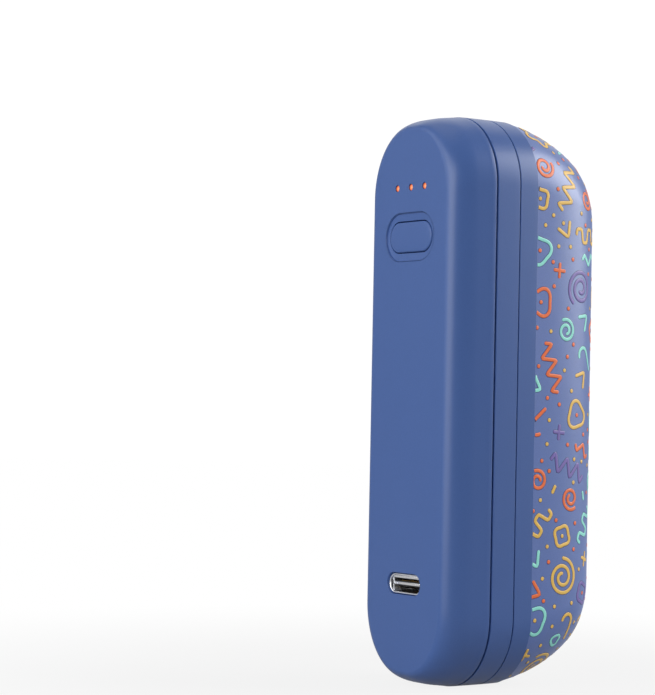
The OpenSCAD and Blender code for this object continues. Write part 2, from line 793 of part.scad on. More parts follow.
// A height on the board, at a share of the way from the socket to the button
function board_z(share) = socket_z + share * (button_z - socket_z);

module charge_controller() {
    color(chip_grey) soldered(0, board_z(charger_share), charger_w, charger_w, chip_t);
}

module heater_controller() {
    color(chip_grey) soldered(0, board_z(driver_share), driver_l, driver_w, chip_t);
}

module coil() {
    coil_z = board_z(coil_share);
    color(dark_resin) difference() {
        soldered(0, coil_z, coil_w, coil_w, coil_t);
        translate([0, 0, coil_z]) for (turn = [0:90:270]) rotate([0, turn, 0])
            translate([coil_w / 2, board_back_y + coil_t / 2, 0]) rotate([90, 0, 0])
                cylinder(d = coil_w / 4, h = coil_t * 2, center = true);
    }
}

module capacitors() {
    color(ceramic) for (side = [-1, 1], i = [0:capacitor_rows - 1])
        soldered(side * capacitor_x, board_z(capacitor_share) + i * capacitor_pitch,
            capacitor_l, capacitor_w, capacitor_t);
}

module at_cell() {
    translate([0, cell_y, 0]) children();
}

// The steel can, turned from its half section, with rolled edges and the crimp's groove
module battery_cell() {
    r = cell_r - sleeve_t - sleeve_gap;
    low = cell_low + sleeve_t + sleeve_gap;
    high = cell_high - pole_t - ring_t;
    groove_z = cell_high - groove_down;
    color(steel) at_cell() difference() {
        rotate_extrude() {
            translate([0, low]) square([r - can_round, high - low]);
            translate([0, low + can_round]) square([r, high - low - 2 * can_round]);
            for (z = [low + can_round, high - can_round]) translate([r - can_round, z])
                circle(r = can_round);
        }
        translate([0, 0, groove_z]) difference() {
            cylinder(r = r + over, h = groove_w, center = true);
            cylinder(r = r - groove_deep, h = groove_w + over, center = true);
        }
    }
}

module battery_pole() {
    z = cell_high - pole_t - ring_t;
    color(nickel) at_cell() translate([0, 0, z]) cylinder(d = pole_d, h = pole_t + ring_t - tab_t);
}

module battery_insulator() {
    z = cell_high - pole_t - ring_t;
    color(paper_white) at_cell() translate([0, 0, z]) difference() {
        cylinder(d = ring_d, h = ring_t);
        translate([0, 0, -over]) cylinder(d = pole_d + 2 * ring_gap, h = ring_t + 2 * over);
    }
}

// The shrink sleeve, open at both ends inside a narrow lip
module battery_sleeve() {
    top = cell_high - pole_t - ring_t + sleeve_gap;
    color(sleeve_green) at_cell() rotate_extrude() {
        translate([cell_r - sleeve_t, cell_low]) square([sleeve_t, top + sleeve_t - cell_low]);
        translate([cell_r - sleeve_lip, cell_low]) square([sleeve_lip, sleeve_t]);
        translate([cell_r - sleeve_lip, top]) square([sleeve_lip, sleeve_t]);
    }
}

// A nickel strip across one end of the cell
module tab(z) {
    color(nickel) block([-tab_w / 2, cell_y - tab_w / 2, z], [tab_w / 2, tab_end_y, z + tab_t]);
}

module positive_tab() {
    tab(cell_high - tab_t);
}

module negative_tab() {
    tab(cell_low + sleeve_t + sleeve_gap - tab_t);
}

// A battery lead from its solder joint on the board to the tab on one end of the cell
module battery_lead(joint_z, tab_z, away) {
    joint = [0, board_front_y, joint_z];
    end = [0, tab_end_y - tab_joint, tab_z];
    back = [0, -lead_d / 2, 0];
    up = [0, 0, away * lead_d / 2];
    leaving = joint - [0, lead_bend, 0];
    arriving = end + [0, 0, away * lead_bend];
    bend = curve(joint + back, leaving, arriving, end + up, lead_steps);
    tube(concat([joint], bend, [end]), lead_d);
}

module positive_lead() {
    color(red) battery_lead(board_high - lead_in, cell_high, 1);
}

module negative_lead() {
    color(black) battery_lead(board_low + lead_in, cell_low + sleeve_t + sleeve_gap - tab_t, -1);
}

// The inner tray: side rails, cross ribs, posts for the board and lugs for the frame screws
module battery_cradle() {
    rib_pitch = (wall_high - wall_low) / (rib_count + 1);
    low_y = board_front_y - rail_t;
    color(cradle_grey) difference() {
        intersection() {
            slab(low_y, board_front_y) body_outline(wall_t + cradle_gap);
            union() {
                for (side = [-1, 1]) side_block(side, rail_x - cradle_wall, rail_x, low_y, board_front_y,
                    wall_low, wall_high + cradle_wall);
                for (i = [0:rib_count + 1]) {
                    z = wall_low + i * rib_pitch;
                    block([-rail_x, rib_low_y, z], [rail_x, board_front_y, z + cradle_wall]);
                }
                board_posts(post_d, board_front_y - post_t, board_front_y);
                for (side = [-1, 1], z = [post_low, post_high]) side_block(side, post_x_pitch / 2, rail_x,
                    board_front_y - post_t, board_front_y, z - cradle_wall / 2, z + cradle_wall / 2);
                lugs(cradle_lug_y, cradle_lug_y + cradle_lug_t, lug_d);
                for (side = [-1, 1]) {
                    low_x = side * lug_x_pitch / 2 - lug_d / 4;
                    high_x = low_x + lug_d / 2;
                    high_y = cradle_lug_y + cradle_lug_t;
                    block([low_x, cradle_lug_y, lug_low_z], [high_x, high_y, wall_low + cradle_wall]);
                    block([low_x, cradle_lug_y, wall_high], [high_x, high_y, lug_high_z]);
                }
            }
        }
        translate([0, cell_y, cell_low - cradle_end_gap])
            cylinder(r = saddle_r, h = cell_l + 2 * cradle_end_gap);
        board_posts(screw_d + 2 * screw_gap, board_front_y - post_t - over, board_front_y + over);
        for (side = [-1, 1], z = [clip_in, body_h - clip_in]) clip_room(side, z);
        lugs(cradle_lug_y - over, cradle_lug_y + cradle_lug_t + over, screw_d + 2 * screw_free_gap);
        for (z = [wall_low, wall_high]) block([-lead_notch_w / 2, rib_low_y - over, z - over],
            [lead_notch_w / 2, board_front_y + over, z + cradle_wall + over]);
    }
}

module foam_pad() {
    color(foam_grey) difference() {
        block([-foam_w / 2, film_y + foam_gap, cell_z - foam_l / 2],
            [foam_w / 2, cell_y, cell_z + foam_l / 2]);
        translate([0, cell_y, cell_z - foam_l]) cylinder(r = cell_r + foam_gap, h = 2 * foam_l);
    }
}

// A thin sheet that lines the dome, from one step of its rings to the front
module liner(first, outer, inner) {
    shares = crowded(spreader_start_share, liner_steps);
    skin(concat(
        [for (i = [liner_steps:-1:first]) dome_ring(shares[i], outer, dome_t - outer + panel_step)],
        [for (i = [first:liner_steps]) dome_ring(shares[i], inner, dome_t - inner + panel_step)]));
}

module heat_spreader() {
    color(aluminium) liner(0, spreader_out, spreader_in);
}

module heater_film() {
    color(film_amber) intersection() {
        liner(film_first_step, film_out, film_in);
        block([-half_w, front_y, cell_z - film_l / 2], [half_w, rim_y, cell_z + film_l / 2]);
    }
}

// A heater lead from the board, over the cell's upper end and down onto the film
module heater_lead(side) {
    joint = [side * heater_lead_x, board_front_y, board_high - lead_in];
    top = [side * heater_lead_x, cell_y, cell_high + heater_lead_over];
    end = [side * heater_joint_x, film_y + heater_lead_d / 2 + heater_lead_gap,
        cell_z + film_l / 2 - heater_lead_l];
    bend_y = [0, heater_lead_bend, 0];
    sweep_y = [0, heater_lead_sweep, 0];
    sweep_z = [0, 0, heater_lead_sweep];
    start = joint - [0, heater_lead_d / 2, 0];
    back_half = curve(start, joint - bend_y, top + bend_y, top, lead_steps);
    front_half = curve(top, top - sweep_y, end + sweep_z, end, lead_steps);
    route = concat([joint], back_half, [for (i = [1:lead_steps]) front_half[i]]);
    color(paper_white) tube(route, heater_lead_d);
}

module temperature_sensor() {
    color(black) translate([0, film_y + bead_d / 2, bead_z]) cylinder(d = bead_d, h = bead_l, center = true);
}

// A pan-head screw whose shank points to -Y from a seat at depth y
module screw(x, z, y, l) {
    difference() {
        union() {
            pin(x, z, screw_d, y - l, y);
            pin(x, z, head_d, y, y + head_t);
        }
        for (turn = [0, 90]) translate([x, y + head_t - drive_deep / 2, z]) rotate([0, turn, 0])
            cube([drive_d, drive_deep + over, drive_w], center = true);
    }
}

module board_screws() {
    color(steel) for (side = [-1, 1], z = [post_low, post_high])
        screw(side * post_x_pitch / 2, z, board_back_y, board_screw_l);
}

module frame_screws() {
    color(steel) for (side = [-1, 1], z = [lug_low_z, lug_high_z])
        screw(side * lug_x_pitch / 2, z, cradle_lug_y + cradle_lug_t, frame_screw_l);
}

back_casing();
middle_band();
front_frame();
front_panel();
button_cap();
switch_body();
switch_plunger();
light_pipe(1);  // light_pipe_left
light_pipe(0);  // light_pipe_centre
light_pipe(-1);  // light_pipe_right
light(1);  // light_left
light(0);  // light_centre
light(-1);  // light_right
circuit_board();
socket_shell();
socket_tongue();
socket_contacts();
charge_controller();
heater_controller();
coil();
capacitors();
battery_cell();
battery_pole();
battery_insulator();
battery_sleeve();
positive_tab();
negative_tab();
positive_lead();
negative_lead();
battery_cradle();
foam_pad();
heat_spreader();
heater_film();
heater_lead(1);  // heater_lead_left
heater_lead(-1);  // heater_lead_right
temperature_sensor();
board_screws();
frame_screws();
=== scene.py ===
"""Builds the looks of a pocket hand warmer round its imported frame: shells, print, lights and stage."""

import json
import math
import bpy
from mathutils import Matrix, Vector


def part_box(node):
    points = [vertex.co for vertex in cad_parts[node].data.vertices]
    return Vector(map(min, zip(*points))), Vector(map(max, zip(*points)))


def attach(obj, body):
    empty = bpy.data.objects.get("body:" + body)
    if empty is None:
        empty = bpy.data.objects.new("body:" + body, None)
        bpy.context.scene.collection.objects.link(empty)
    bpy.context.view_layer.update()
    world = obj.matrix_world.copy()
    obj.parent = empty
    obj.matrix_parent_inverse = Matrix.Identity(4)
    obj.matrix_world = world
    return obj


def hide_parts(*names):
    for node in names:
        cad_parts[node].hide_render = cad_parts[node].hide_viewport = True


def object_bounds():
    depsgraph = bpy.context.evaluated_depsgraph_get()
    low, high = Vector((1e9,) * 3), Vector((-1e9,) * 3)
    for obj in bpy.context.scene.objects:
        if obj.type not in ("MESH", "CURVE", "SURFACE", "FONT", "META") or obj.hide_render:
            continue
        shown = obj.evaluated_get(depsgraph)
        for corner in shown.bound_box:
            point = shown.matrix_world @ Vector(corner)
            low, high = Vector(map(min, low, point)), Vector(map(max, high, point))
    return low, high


bl_info = {
    "name": "Pocket hand warmer",
    "version": (1, 0, 0),
    "blender": (4, 5, 0),
    "location": "3D View > Sidebar > Hand warmer",
    "description": "Smooth moulded shells, raised confetti print, button, lights, socket and a white stage",
    "category": "Object",
}

import bmesh
import bpy
import numpy as np
from bpy.props import FloatProperty, FloatVectorProperty, IntProperty, PointerProperty
from mathutils import Matrix, Vector
from mathutils.geometry import delaunay_2d_cdt

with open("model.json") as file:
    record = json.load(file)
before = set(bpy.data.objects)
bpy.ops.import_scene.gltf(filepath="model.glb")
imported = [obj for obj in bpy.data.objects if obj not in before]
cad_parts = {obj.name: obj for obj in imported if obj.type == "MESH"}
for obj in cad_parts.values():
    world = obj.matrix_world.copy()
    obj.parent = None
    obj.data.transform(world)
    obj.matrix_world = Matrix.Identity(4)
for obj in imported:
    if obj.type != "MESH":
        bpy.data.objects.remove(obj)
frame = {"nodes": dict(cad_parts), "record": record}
cad_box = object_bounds()

MM = 0.001

# Places read from the frame, in millimetres
BODY_LOW = np.array(cad_box[0]) / MM
BODY_HIGH = np.array(cad_box[1]) / MM
HALF_W = BODY_HIGH[0]
HALF_H = BODY_HIGH[2] / 2
MID_Z = HALF_H
BACK_Y = BODY_HIGH[1]
FRONT_Y = BODY_LOW[1]


def node_box(node):
    """Lowest and highest corner of a CAD node, in millimetres."""
    low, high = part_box(node)
    return np.array(low) / MM, np.array(high) / MM


def node_centre(node):
    low, high = node_box(node)
    return (low + high) / 2


MIDDLE = np.array([0, 0, MID_Z])
RIM_Y = node_box("front_frame")[0][1]
BAND_LOW, BAND_HIGH = node_box("middle_band")
CAP_LOW, CAP_HIGH = node_box("button_cap")
SOCKET_LOW, SOCKET_HIGH = node_box("socket_shell")
SOCKET_HALF = (SOCKET_HIGH - SOCKET_LOW) / 2
BUTTON_Z = node_centre("button_cap")[2]
SOCKET_Z = node_centre("socket_shell")[2]
PIPES = ("light_pipe_left", "light_pipe_centre", "light_pipe_right")
PIPE_X = [node_centre(n)[0] for n in PIPES]
LIGHT_Z = node_centre("light_pipe_centre")[2]
PIPE_LOW, PIPE_HIGH = node_box("light_pipe_centre")


def length(name, default, description):
    """A length property whose default is given in millimetres."""
    default = default * MM
    return FloatProperty(name=name, description=description, default=default, unit="LENGTH", precision=5)


def from_bytes(r, g, b):
    """Turns a screen colour in bytes into the linear colour that renders as it."""
    c = np.array([r, g, b]) / 255
    return tuple(float(x) for x in np.where(c <= 0.04045, c / 12.92, ((c + 0.055) / 1.055) ** 2.4))


def colour(name, rgb, description):
    return FloatVectorProperty(
        name=name, description=description, default=from_bytes(*rgb), subtype="COLOR", size=3, min=0, max=1
    )


class ShellSizes(bpy.types.PropertyGroup):
    """Sizes of the moulded shells."""

    end_flat: length("End flat", 2.8, "Width of the flat stretch between the two corners of an end")
    wall: length("Wall", 1.6, "Thickness of the moulded walls")
    dark_seam: length("Dark seam", 0.4, "Width of the groove between the back casing and the band")
    fine_seam: length("Fine seam", 0.22, "Width of the groove between the band and the front frame")
    fine_seam_depth: length("Fine seam depth", 0.35, "Depth of the fine groove")
    tongue: length("Tongue", 1.5, "How far a wall's tongue reaches into its neighbour")
    edge: length("Edge radius", 0.06, "Radius on the edges beside the seams")
    bow: length("Bow", 0.12, "How far the plain strips draw in from the dark seam to the panel")
    panel_step: length("Panel step", 0.15, "Step down from the frame to the printed panel")
    crown: length("Crown width", 5.4, "Width of the dome's crown, to which both sides draw in")
    end_reach: length("End reach", 13.5, "How far each end of the dome draws in")
    draft: length("Draft", 0.9, "Draft of the back casing over its depth")
    round_depth: length("Rounding depth", 4.6, "Depth of the rounding at the back edge")
    round_sides: length("Rounding, sides", 2.4, "Width of the back rounding along the sides")
    round_ends: length("Rounding, ends", 1.7, "Width of the back rounding at the two ends")


class DetailSizes(bpy.types.PropertyGroup):
    """Sizes of the button, the windows and the socket."""

    recess_length: length("Recess length", 13.2, "Length of the dished recess across the body")
    recess_width: length("Recess width", 7.7, "Width of the dished recess along the body")
    recess_depth: length("Recess depth", 0.3, "Depth of the recess")
    cap_length: length("Cap length", 11.5, "Length of the button cap")
    cap_width: length("Cap width", 4.9, "Width of the button cap")
    cap_gap: length("Cap gap", 0.15, "Gap round the cap in its hole")
    cap_edge: length("Cap edge", 0.3, "Radius of the cap's upper edge")
    window: length("Window", 1.1, "Diameter of a light's window")
    pipe_gap: length("Pipe gap", 0.05, "Gap round a light pipe")
    socket_gap: length("Socket gap", 0.1, "Gap round the socket's shell")
    socket_wall: length("Socket wall", 0.3, "Thickness of the socket's metal")
    hole_edge: length("Hole edge", 0.08, "Radius on the edges of the openings")


class PrintSizes(bpy.types.PropertyGroup):
    """Sizes of the raised print."""

    stroke: length("Stroke", 0.6, "Width of an inked stroke")
    dot: length("Dot", 0.34, "Radius of a dot")
    rise: length("Rise", 0.05, "Height of the ink over the panel")
    # Width by which the dark sheet of painted shadow reaches out round each stroke
    border: length("Border", 0.07, "Width of the dark line round each stroke")
    clearance: length("Clearance", 0.8, "Least gap between two strokes")
    seed: IntProperty(name="Seed", description="Chooses the layout of the print", default=11, min=0)


class Colours(bpy.types.PropertyGroup):
    """Colours of the finishes that show."""

    shell: colour("Shell", (69, 99, 160), "Soft-touch plastic of the shells")
    panel: colour("Panel", (92, 117, 180), "Ground of the printed panel")
    coral: colour("Coral ink", (243, 117, 62), "First ink")
    yellow: colour("Yellow ink", (240, 195, 94), "Second ink")
    mint: colour("Mint ink", (152, 234, 222), "Third ink")
    violet: colour("Violet ink", (122, 106, 178), "Fourth ink")
    # Colour of the painted shadow, a dark sheet round each stroke
    border: colour("Border", (38, 50, 96), "Dark line round each stroke")
    glow: colour("Glow", (246, 118, 62), "Light in the windows")


class Sizes(bpy.types.PropertyGroup):
    """All settings of the hand warmer."""

    shell: PointerProperty(type=ShellSizes)
    detail: PointerProperty(type=DetailSizes)
    print: PointerProperty(type=PrintSizes)
    colours: PointerProperty(type=Colours)


class Millimetres:
    """Reads a property group's lengths as millimetres."""

    def __init__(self, group):
        self.group = group

    def __getattr__(self, name):
        return getattr(self.group, name) / MM


def sizes():
    settings = bpy.context.scene.hand_warmer
    return Millimetres(settings.shell), Millimetres(settings.detail)


# Rings and profiles


def outline_path(corner=28, side=20, end=3):
    """The parameters of a closed rounded rectangle, corner by corner, as four arrays.

    A point is sx * (a - ra) + ra * cos(t) across and sz * (b - rb) + rb * sin(t) up. Round a corner t turns
    through a quarter; along a straight stretch t rests and sx or sz runs from one corner to the next.
    """
    signs = ((1, 1), (-1, 1), (-1, -1), (1, -1), (1, 1))
    rows = []
    for q, ((sx, sz), (nx, nz)) in enumerate(zip(signs, signs[1:])):
        run = np.linspace(0, 1, side if q % 2 else end, endpoint=False)
        share = np.concatenate([np.zeros(corner), run])
        turn = np.concatenate([np.linspace(0, 1, corner, endpoint=False), np.ones(len(run))])
        t = np.pi / 2 * (q + turn)
        rows.append([sx + (nx - sx) * share, sz + (nz - sz) * share, np.cos(t), np.sin(t)])
    return np.concatenate(rows, axis=1)


PATH = outline_path()


def as_columns(*values):
    """Each value as a column of floats, with one row for each ring."""
    return [np.atleast_1d(np.asarray(v, float))[:, None] for v in values]


def rings_at(y, x, z):
    """Points from their depth, place across and place up, spread to one shape."""
    return np.stack(np.broadcast_arrays(x, y, z), axis=-1)


def ring_points(y, a, b, ra, rb):
    """Rings of a rounded rectangle with half sizes a and b and corner radii ra and rb, one for each y."""
    y, a, b, ra, rb = as_columns(y, a, b, ra, rb)
    sx, sz, cos, sin = PATH
    return rings_at(y, sx * (a - ra) + ra * cos, MID_Z + sz * (b - rb) + rb * sin)


def body_rings(y, ix, iz, wall, corner):
    """The body's outline, drawn in by ix at the sides and iz at the ends, then shrunk by a wall."""
    kx = (HALF_W - ix) / HALF_W * (HALF_W - wall) / HALF_W
    kz = (HALF_H - iz) / HALF_H * (HALF_H - wall) / HALF_H
    return ring_points(y, HALF_W * kx, HALF_H * kz, corner * kx, corner * kz)


def offset_rings(y, inset, corner):
    """The body's outline drawn in evenly by an inset, for the walls' straight lengths and laps."""
    inset = np.asarray(inset, float)
    return ring_points(y, HALF_W - inset, HALF_H - inset, corner - inset, corner - inset)


def stadium_rings(y, half_l, half_w, centre_z, steps=24):
    """Rings of a slot with two round ends: half_l is half its length across, half_w half its width up."""
    y, half_l, half_w = as_columns(y, half_l, half_w)
    straight = 6
    t = np.linspace(-np.pi / 2, np.pi / 2, steps)
    run = np.linspace(1, -1, straight + 2)[1:-1]
    side = np.concatenate([np.ones(steps), run, -np.ones(steps), -run])
    cos = np.concatenate([np.cos(t), np.zeros(straight), -np.cos(t), np.zeros(straight)])
    sin = np.concatenate([np.sin(t), np.ones(straight), -np.sin(t), -np.ones(straight)])
    return rings_at(y, side * (half_l - half_w) + half_w * cos, centre_z + half_w * sin)


def circle_rings(y, radius, centre_x, centre_z, steps=32):
    """Rings of a circle, one for each pair of depth and radius."""
    y, radius = as_columns(y, radius)
    t = np.linspace(0, 2 * np.pi, steps, endpoint=False)
    return rings_at(y, centre_x + radius * np.cos(t), centre_z + radius * np.sin(t))


def quarter(steps):
    """Sine and cosine at even steps of a quarter turn."""
    t = np.linspace(0, np.pi / 2, steps)
    return np.sin(t), np.cos(t)


def rounding(radius, steps=5):
    """A rounded edge at even steps: how far it still lies outside its wall, and how far below its top."""
    sin, cos = quarter(steps)
    return radius * (1 - sin), radius * (1 - cos)


def rise(v, start, end):
    """Inset at a share v of the dome's depth, as a share of its reach: 1 - (1 - v^start)^(1/end)."""
    return 1 - np.maximum(0, 1 - np.clip(v, 0, 1) ** start) ** (1 / end)


# How square the dome's shoulder is, beside the frame and at the front
SIDE_POWERS = (3.3, 2.1)
END_POWERS = (1.2, 2.5)
# How the front's rings close in over the flat crown
CROWN_SHARES = (0.8, 0.6, 0.4, 0.2, 0.02)


# Meshes


class Patches:
    """Collects surfaces in millimetres and makes them one closed mesh in metres."""

    def __init__(self):
        self.points = []
        self.faces = []
        self.count = 0

    def add(self, points, faces):
        self.points.append(points.reshape(-1, 3))
        self.faces += [(np.asarray(f) + self.count).tolist() for f in faces]
        self.count += len(self.points[-1])

    def tube(self, rings, loop=False, ends=False):
        """Quads between neighbouring rings. loop also joins the last ring to the first; ends adds a face on
        each of the two."""
        rows, around = rings.shape[:2]
        i = np.arange(rows if loop else rows - 1)[:, None]
        j = np.arange(around)
        ni, nj = (i + 1) % rows, (j + 1) % around
        quads = np.stack([i * around + j, i * around + nj, ni * around + nj, ni * around + j], axis=-1)
        self.add(rings, quads.reshape(-1, 4))
        for ring in (rings[0], rings[-1]) if ends else ():
            self.add(ring, [j])

    def disc(self, ring, shrink=(0.75, 0.5, 0.25, 0.02)):
        """Closes a flat ring with rings that shrink about its middle and a last small face."""
        middle = ring.mean(0)
        rings = middle + (ring - middle) * np.array([1.0, *shrink])[:, None, None]
        self.tube(rings)
        self.add(rings[-1], [np.arange(len(ring))])

    def rod(self, rings, **tip):
        """A tube with a disc at each end; tip is for the last one."""
        self.tube(rings)
        self.disc(rings[0])
        self.disc(rings[-1], **tip)

    def plate(self, outer, holes):
        """A flat face between an outer ring and holes, at the depth of the outer ring."""
        rings = [outer, *holes]
        flat = [Vector((p[0], p[2])) for r in rings for p in r]
        edges = []
        for r in rings:
            start = len(edges)
            edges += [(start + k, start + (k + 1) % len(r)) for k in range(len(r))]
        points, _, triangles, *_ = delaunay_2d_cdt(flat, edges, [], 1, 1e-7)
        xz = np.array([tuple(p) for p in points])
        triangles = np.array([t for t in triangles if len(t) == 3])
        middles = xz[triangles].mean(1)
        keep = inside_ring(middles, outer)
        for h in holes:
            keep &= ~inside_ring(middles, h)
        self.add(rings_at(outer[0, 1], xz[:, 0], xz[:, 1]), triangles[keep])

    def piece(self, name, material, sharp=50, recalc=True):
        """Makes the object. Doubles are merged, faces turned outwards, edges over the sharp angle kept."""
        mesh = bpy.data.meshes.new(name)
        mesh.from_pydata(np.concatenate(self.points) * MM, [], self.faces)
        b = bmesh.new()
        b.from_mesh(mesh)
        bmesh.ops.remove_doubles(b, verts=b.verts, dist=1e-7)
        bmesh.ops.dissolve_degenerate(b, edges=b.edges, dist=1e-8)
        if recalc:
            bmesh.ops.recalc_face_normals(b, faces=b.faces)
        b.to_mesh(mesh)
        b.free()
        mesh.shade_smooth()
        mesh.set_sharp_from_angle(angle=math.radians(sharp))
        mesh.materials.append(material)
        obj = bpy.data.objects.new(name, mesh)
        bpy.context.scene.collection.objects.link(obj)
        return obj


def inside_ring(points, ring):
    """Whether each flat point lies inside a closed ring, by counting the ring's edges to its right."""
    x, z = points[:, 0][:, None], points[:, 1][:, None]
    x0, z0 = ring[:, 0], ring[:, 2]
    x1, z1 = np.roll(x0, -1), np.roll(z0, -1)
    spans = (z0 > z) != (z1 > z)
    with np.errstate(divide="ignore", invalid="ignore"):
        cross = x0 + (z - z0) / (z1 - z0) * (x1 - x0)
    return (spans & (cross > x)).sum(1) % 2 == 1


# Shader maths


def maths(operation, swap=False):
    """A method that puts a link, and another value if the operation takes one, into a Math node."""

    def method(self, *others):
        values = (*others, self) if swap else (self, *others)
        return self.shader.node("ShaderNodeMath", {"operation": operation}, dict(enumerate(values)))

    return method


class Link:
    """A shader socket that takes part in sums, so that an expression adds its own Math nodes."""

    def __init__(self, shader, socket):
        self.shader = shader
        self.socket = socket

    __add__ = __radd__ = maths("ADD")
    __sub__ = maths("SUBTRACT")
    __rsub__ = maths("SUBTRACT", swap=True)
    __mul__ = __rmul__ = maths("MULTIPLY")
    __pow__ = maths("POWER")
    __gt__ = maths("GREATER_THAN")
    __lt__ = maths("LESS_THAN")
    __abs__ = maths("ABSOLUTE")
    sine = maths("SINE")
    fold = maths("PINGPONG")

    def ramp(self, low, high, out_low=0.0, out_high=1.0):
        """Maps low..high onto out_low..out_high, smoothly and held at both ends."""
        return self.shader.node(
            "ShaderNodeMapRange",
            {"interpolation_type": "SMOOTHSTEP"},
            {"Value": self, "From Min": low, "From Max": high, "To Min": out_low, "To Max": out_high},
        )


class Shader:
    """Builds the nodes of one material, or of the world."""

    def __init__(self, name, kind="Material"):
        self.owner = getattr(bpy.data, kind.lower() + "s").new(name)
        self.owner.use_nodes = True
        self.tree = self.owner.node_tree
        self.tree.nodes.clear()
        self.output = self.tree.nodes.new("ShaderNodeOutput" + kind)

    def node(self, kind, settings=None, values=None, out=0):
        """Adds a node: its settings are set first, then each input gets a value or a link."""
        made = self.tree.nodes.new(kind)
        for key, value in (settings or {}).items():
            setattr(made, key, value)
        for key, value in (values or {}).items():
            if isinstance(value, Link):
                self.tree.links.new(value.socket, made.inputs[key])
            else:
                made.inputs[key].default_value = value
        return Link(self, made.outputs[out])

    def place(self):
        """Object coordinates."""
        return self.node("ShaderNodeTexCoord", out="Object")

    def axis(self, name):
        return self.node("ShaderNodeSeparateXYZ", values={"Vector": self.place()}, out=name)

    def noise(self, size_mm, detail=2.0, roughness=0.5, stretch=None):
        """Noise whose grains are about size_mm across, stretched along an axis if asked."""
        where = self.place()
        if stretch:
            where = self.node("ShaderNodeMapping", values={"Vector": where, "Scale": stretch})
        values = {"Vector": where, "Scale": 1 / (size_mm * MM), "Detail": detail, "Roughness": roughness}
        return self.node("ShaderNodeTexNoise", values=values)

    def blend(self, share, a, b):
        """Mixes two colours by a share. The inputs and the output are those of the node's colour kind."""
        settings = {"data_type": "RGBA", "clamp_factor": True}
        return self.node("ShaderNodeMix", settings, {0: share, 6: a, 7: b}, out=2)

    def bump(self, height, strength, distance_mm):
        """A bump whose height link runs from 0 to 1 over distance_mm."""
        values = {"Height": height, "Strength": strength, "Distance": distance_mm * MM}
        return self.node("ShaderNodeBump", values=values)

    def principled(self, **values):
        """Finishes the material with a Principled surface."""
        named = {k.replace("_", " "): v for k, v in values.items()}
        return self.finish(self.node("ShaderNodeBsdfPrincipled", values=named))

    def finish(self, surface):
        self.tree.links.new(surface.socket, self.output.inputs["Surface"])
        return self.owner


def rgba(tint, scale=1.0):
    return tuple(c * scale for c in tint[:3]) + (1.0,)


def soft_touch(name, tint, grain=0.05, ior=1.46):
    """Matte rubberised lacquer: a fine spray grain, faint clouding and a satin sheen."""
    s = Shader(name)
    fine = s.noise(0.16, detail=3.0, roughness=0.6)
    spread = fine.ramp(0.3, 0.7) * 0.75 + s.noise(9.0) * 0.25
    base = s.blend(spread, rgba(tint, 1 - grain), rgba(tint, 1 + grain))
    gloss = fine.ramp(0.25, 0.75, 0.30, 0.38)
    return s.principled(Base_Color=base, Roughness=gloss, Normal=s.bump(fine, 0.16, 0.02), IOR=ior)


def ink(name, tint):
    """Raised screen ink: nearly even colour with faint mottling and a smoother skin than the lacquer."""
    s = Shader(name)
    fine = s.noise(0.22)
    mottle = s.noise(1.6, detail=3.0)
    base = s.blend(fine.ramp(0.3, 0.7) * 0.5 + mottle * 0.5, rgba(tint, 0.93), rgba(tint, 1.05))
    gloss = mottle.ramp(0.3, 0.7, 0.36, 0.46)
    return s.principled(Base_Color=base, Roughness=gloss, Normal=s.bump(fine, 0.12, 0.02), IOR=1.5)


def moulded(name, tint, roughness, grain_mm=0.25, depth=0.015):
    """Plain moulded resin with a spark-eroded grain and faint flow marks."""
    s = Shader(name)
    fine = s.noise(grain_mm, detail=3.0)
    flow = s.noise(5.0, stretch=(1.0, 1.0, 0.3))
    base = s.blend(fine * 0.4 + flow * 0.6, rgba(tint, 0.92), rgba(tint, 1.08))
    gloss = fine.ramp(0.3, 0.7, roughness - 0.05, roughness + 0.07)
    return s.principled(Base_Color=base, Roughness=gloss, Normal=s.bump(fine, 0.3, depth))


def drawn_metal(name, tint, roughness=0.24, grain_mm=0.12, stretch=(0.08, 1.0, 1.0)):
    """Drawn or plated metal: hairline streaks along one axis and small changes of gloss."""
    s = Shader(name)
    streak = s.noise(grain_mm, detail=4.0, roughness=0.6, stretch=stretch)
    base = s.blend(streak * 0.6 + s.noise(2.5) * 0.4, rgba(tint, 0.86), rgba(tint, 1.06))
    gloss = streak.ramp(0.3, 0.7, roughness - 0.07, roughness + 0.09)
    return s.principled(Base_Color=base, Metallic=1.0, Roughness=gloss, Normal=s.bump(streak, 0.15, 0.01))


def lit_resin_painted_rim_shade(name, tint):
    """A clear pipe lit from behind by its chip: a pale core, the chip's glow with a painted highlight, in a
    deep red rim of painted shade from the window's wall. The core sits off the pipe's axis so that this
    painted shade falls on the +X side and the top.
    """
    s = Shader(name)
    # The core is set 0.25 mm towards -X and 0.06 mm down, so the rim of painted shade is widest on the +X
    # side and at the top
    across = s.axis("X") + 0.25 * MM
    up = s.axis("Z") - (LIGHT_Z - 0.06) * MM
    pitch = abs(PIPE_X[0] - PIPE_X[1]) * MM
    # Distance from the nearest core, which sits off its pipe's axis, folded over the even pitch
    folded = across.fold(pitch / 2)
    far = (folded * folded + up * up) ** 0.5
    # body is 1 over the core and falls to 0 in the rim, whose dark red glow and colour are painted shade of
    # the window's wall
    body = far.ramp(0.36 * MM, 0.62 * MM, 1.0, 0.0)
    core = far.ramp(0.0, 0.4 * MM, 1.0, 0.0)
    glow = s.blend(body, rgba(tint, 0.12), s.blend(core, rgba(tint, 0.85), (1.0, 0.46, 0.22, 1)))
    base = s.blend(body, (0.12, 0.02, 0.02, 1), rgba(tint, 0.35))
    return s.principled(Base_Color=base, Emission_Color=glow, Emission_Strength=0.9, Roughness=0.3)


def waves(s, axis, pitch_mm):
    """A sine along an axis that repeats at a pitch."""
    return (s.axis(axis) * (2 * math.pi / (pitch_mm * MM))).sine()


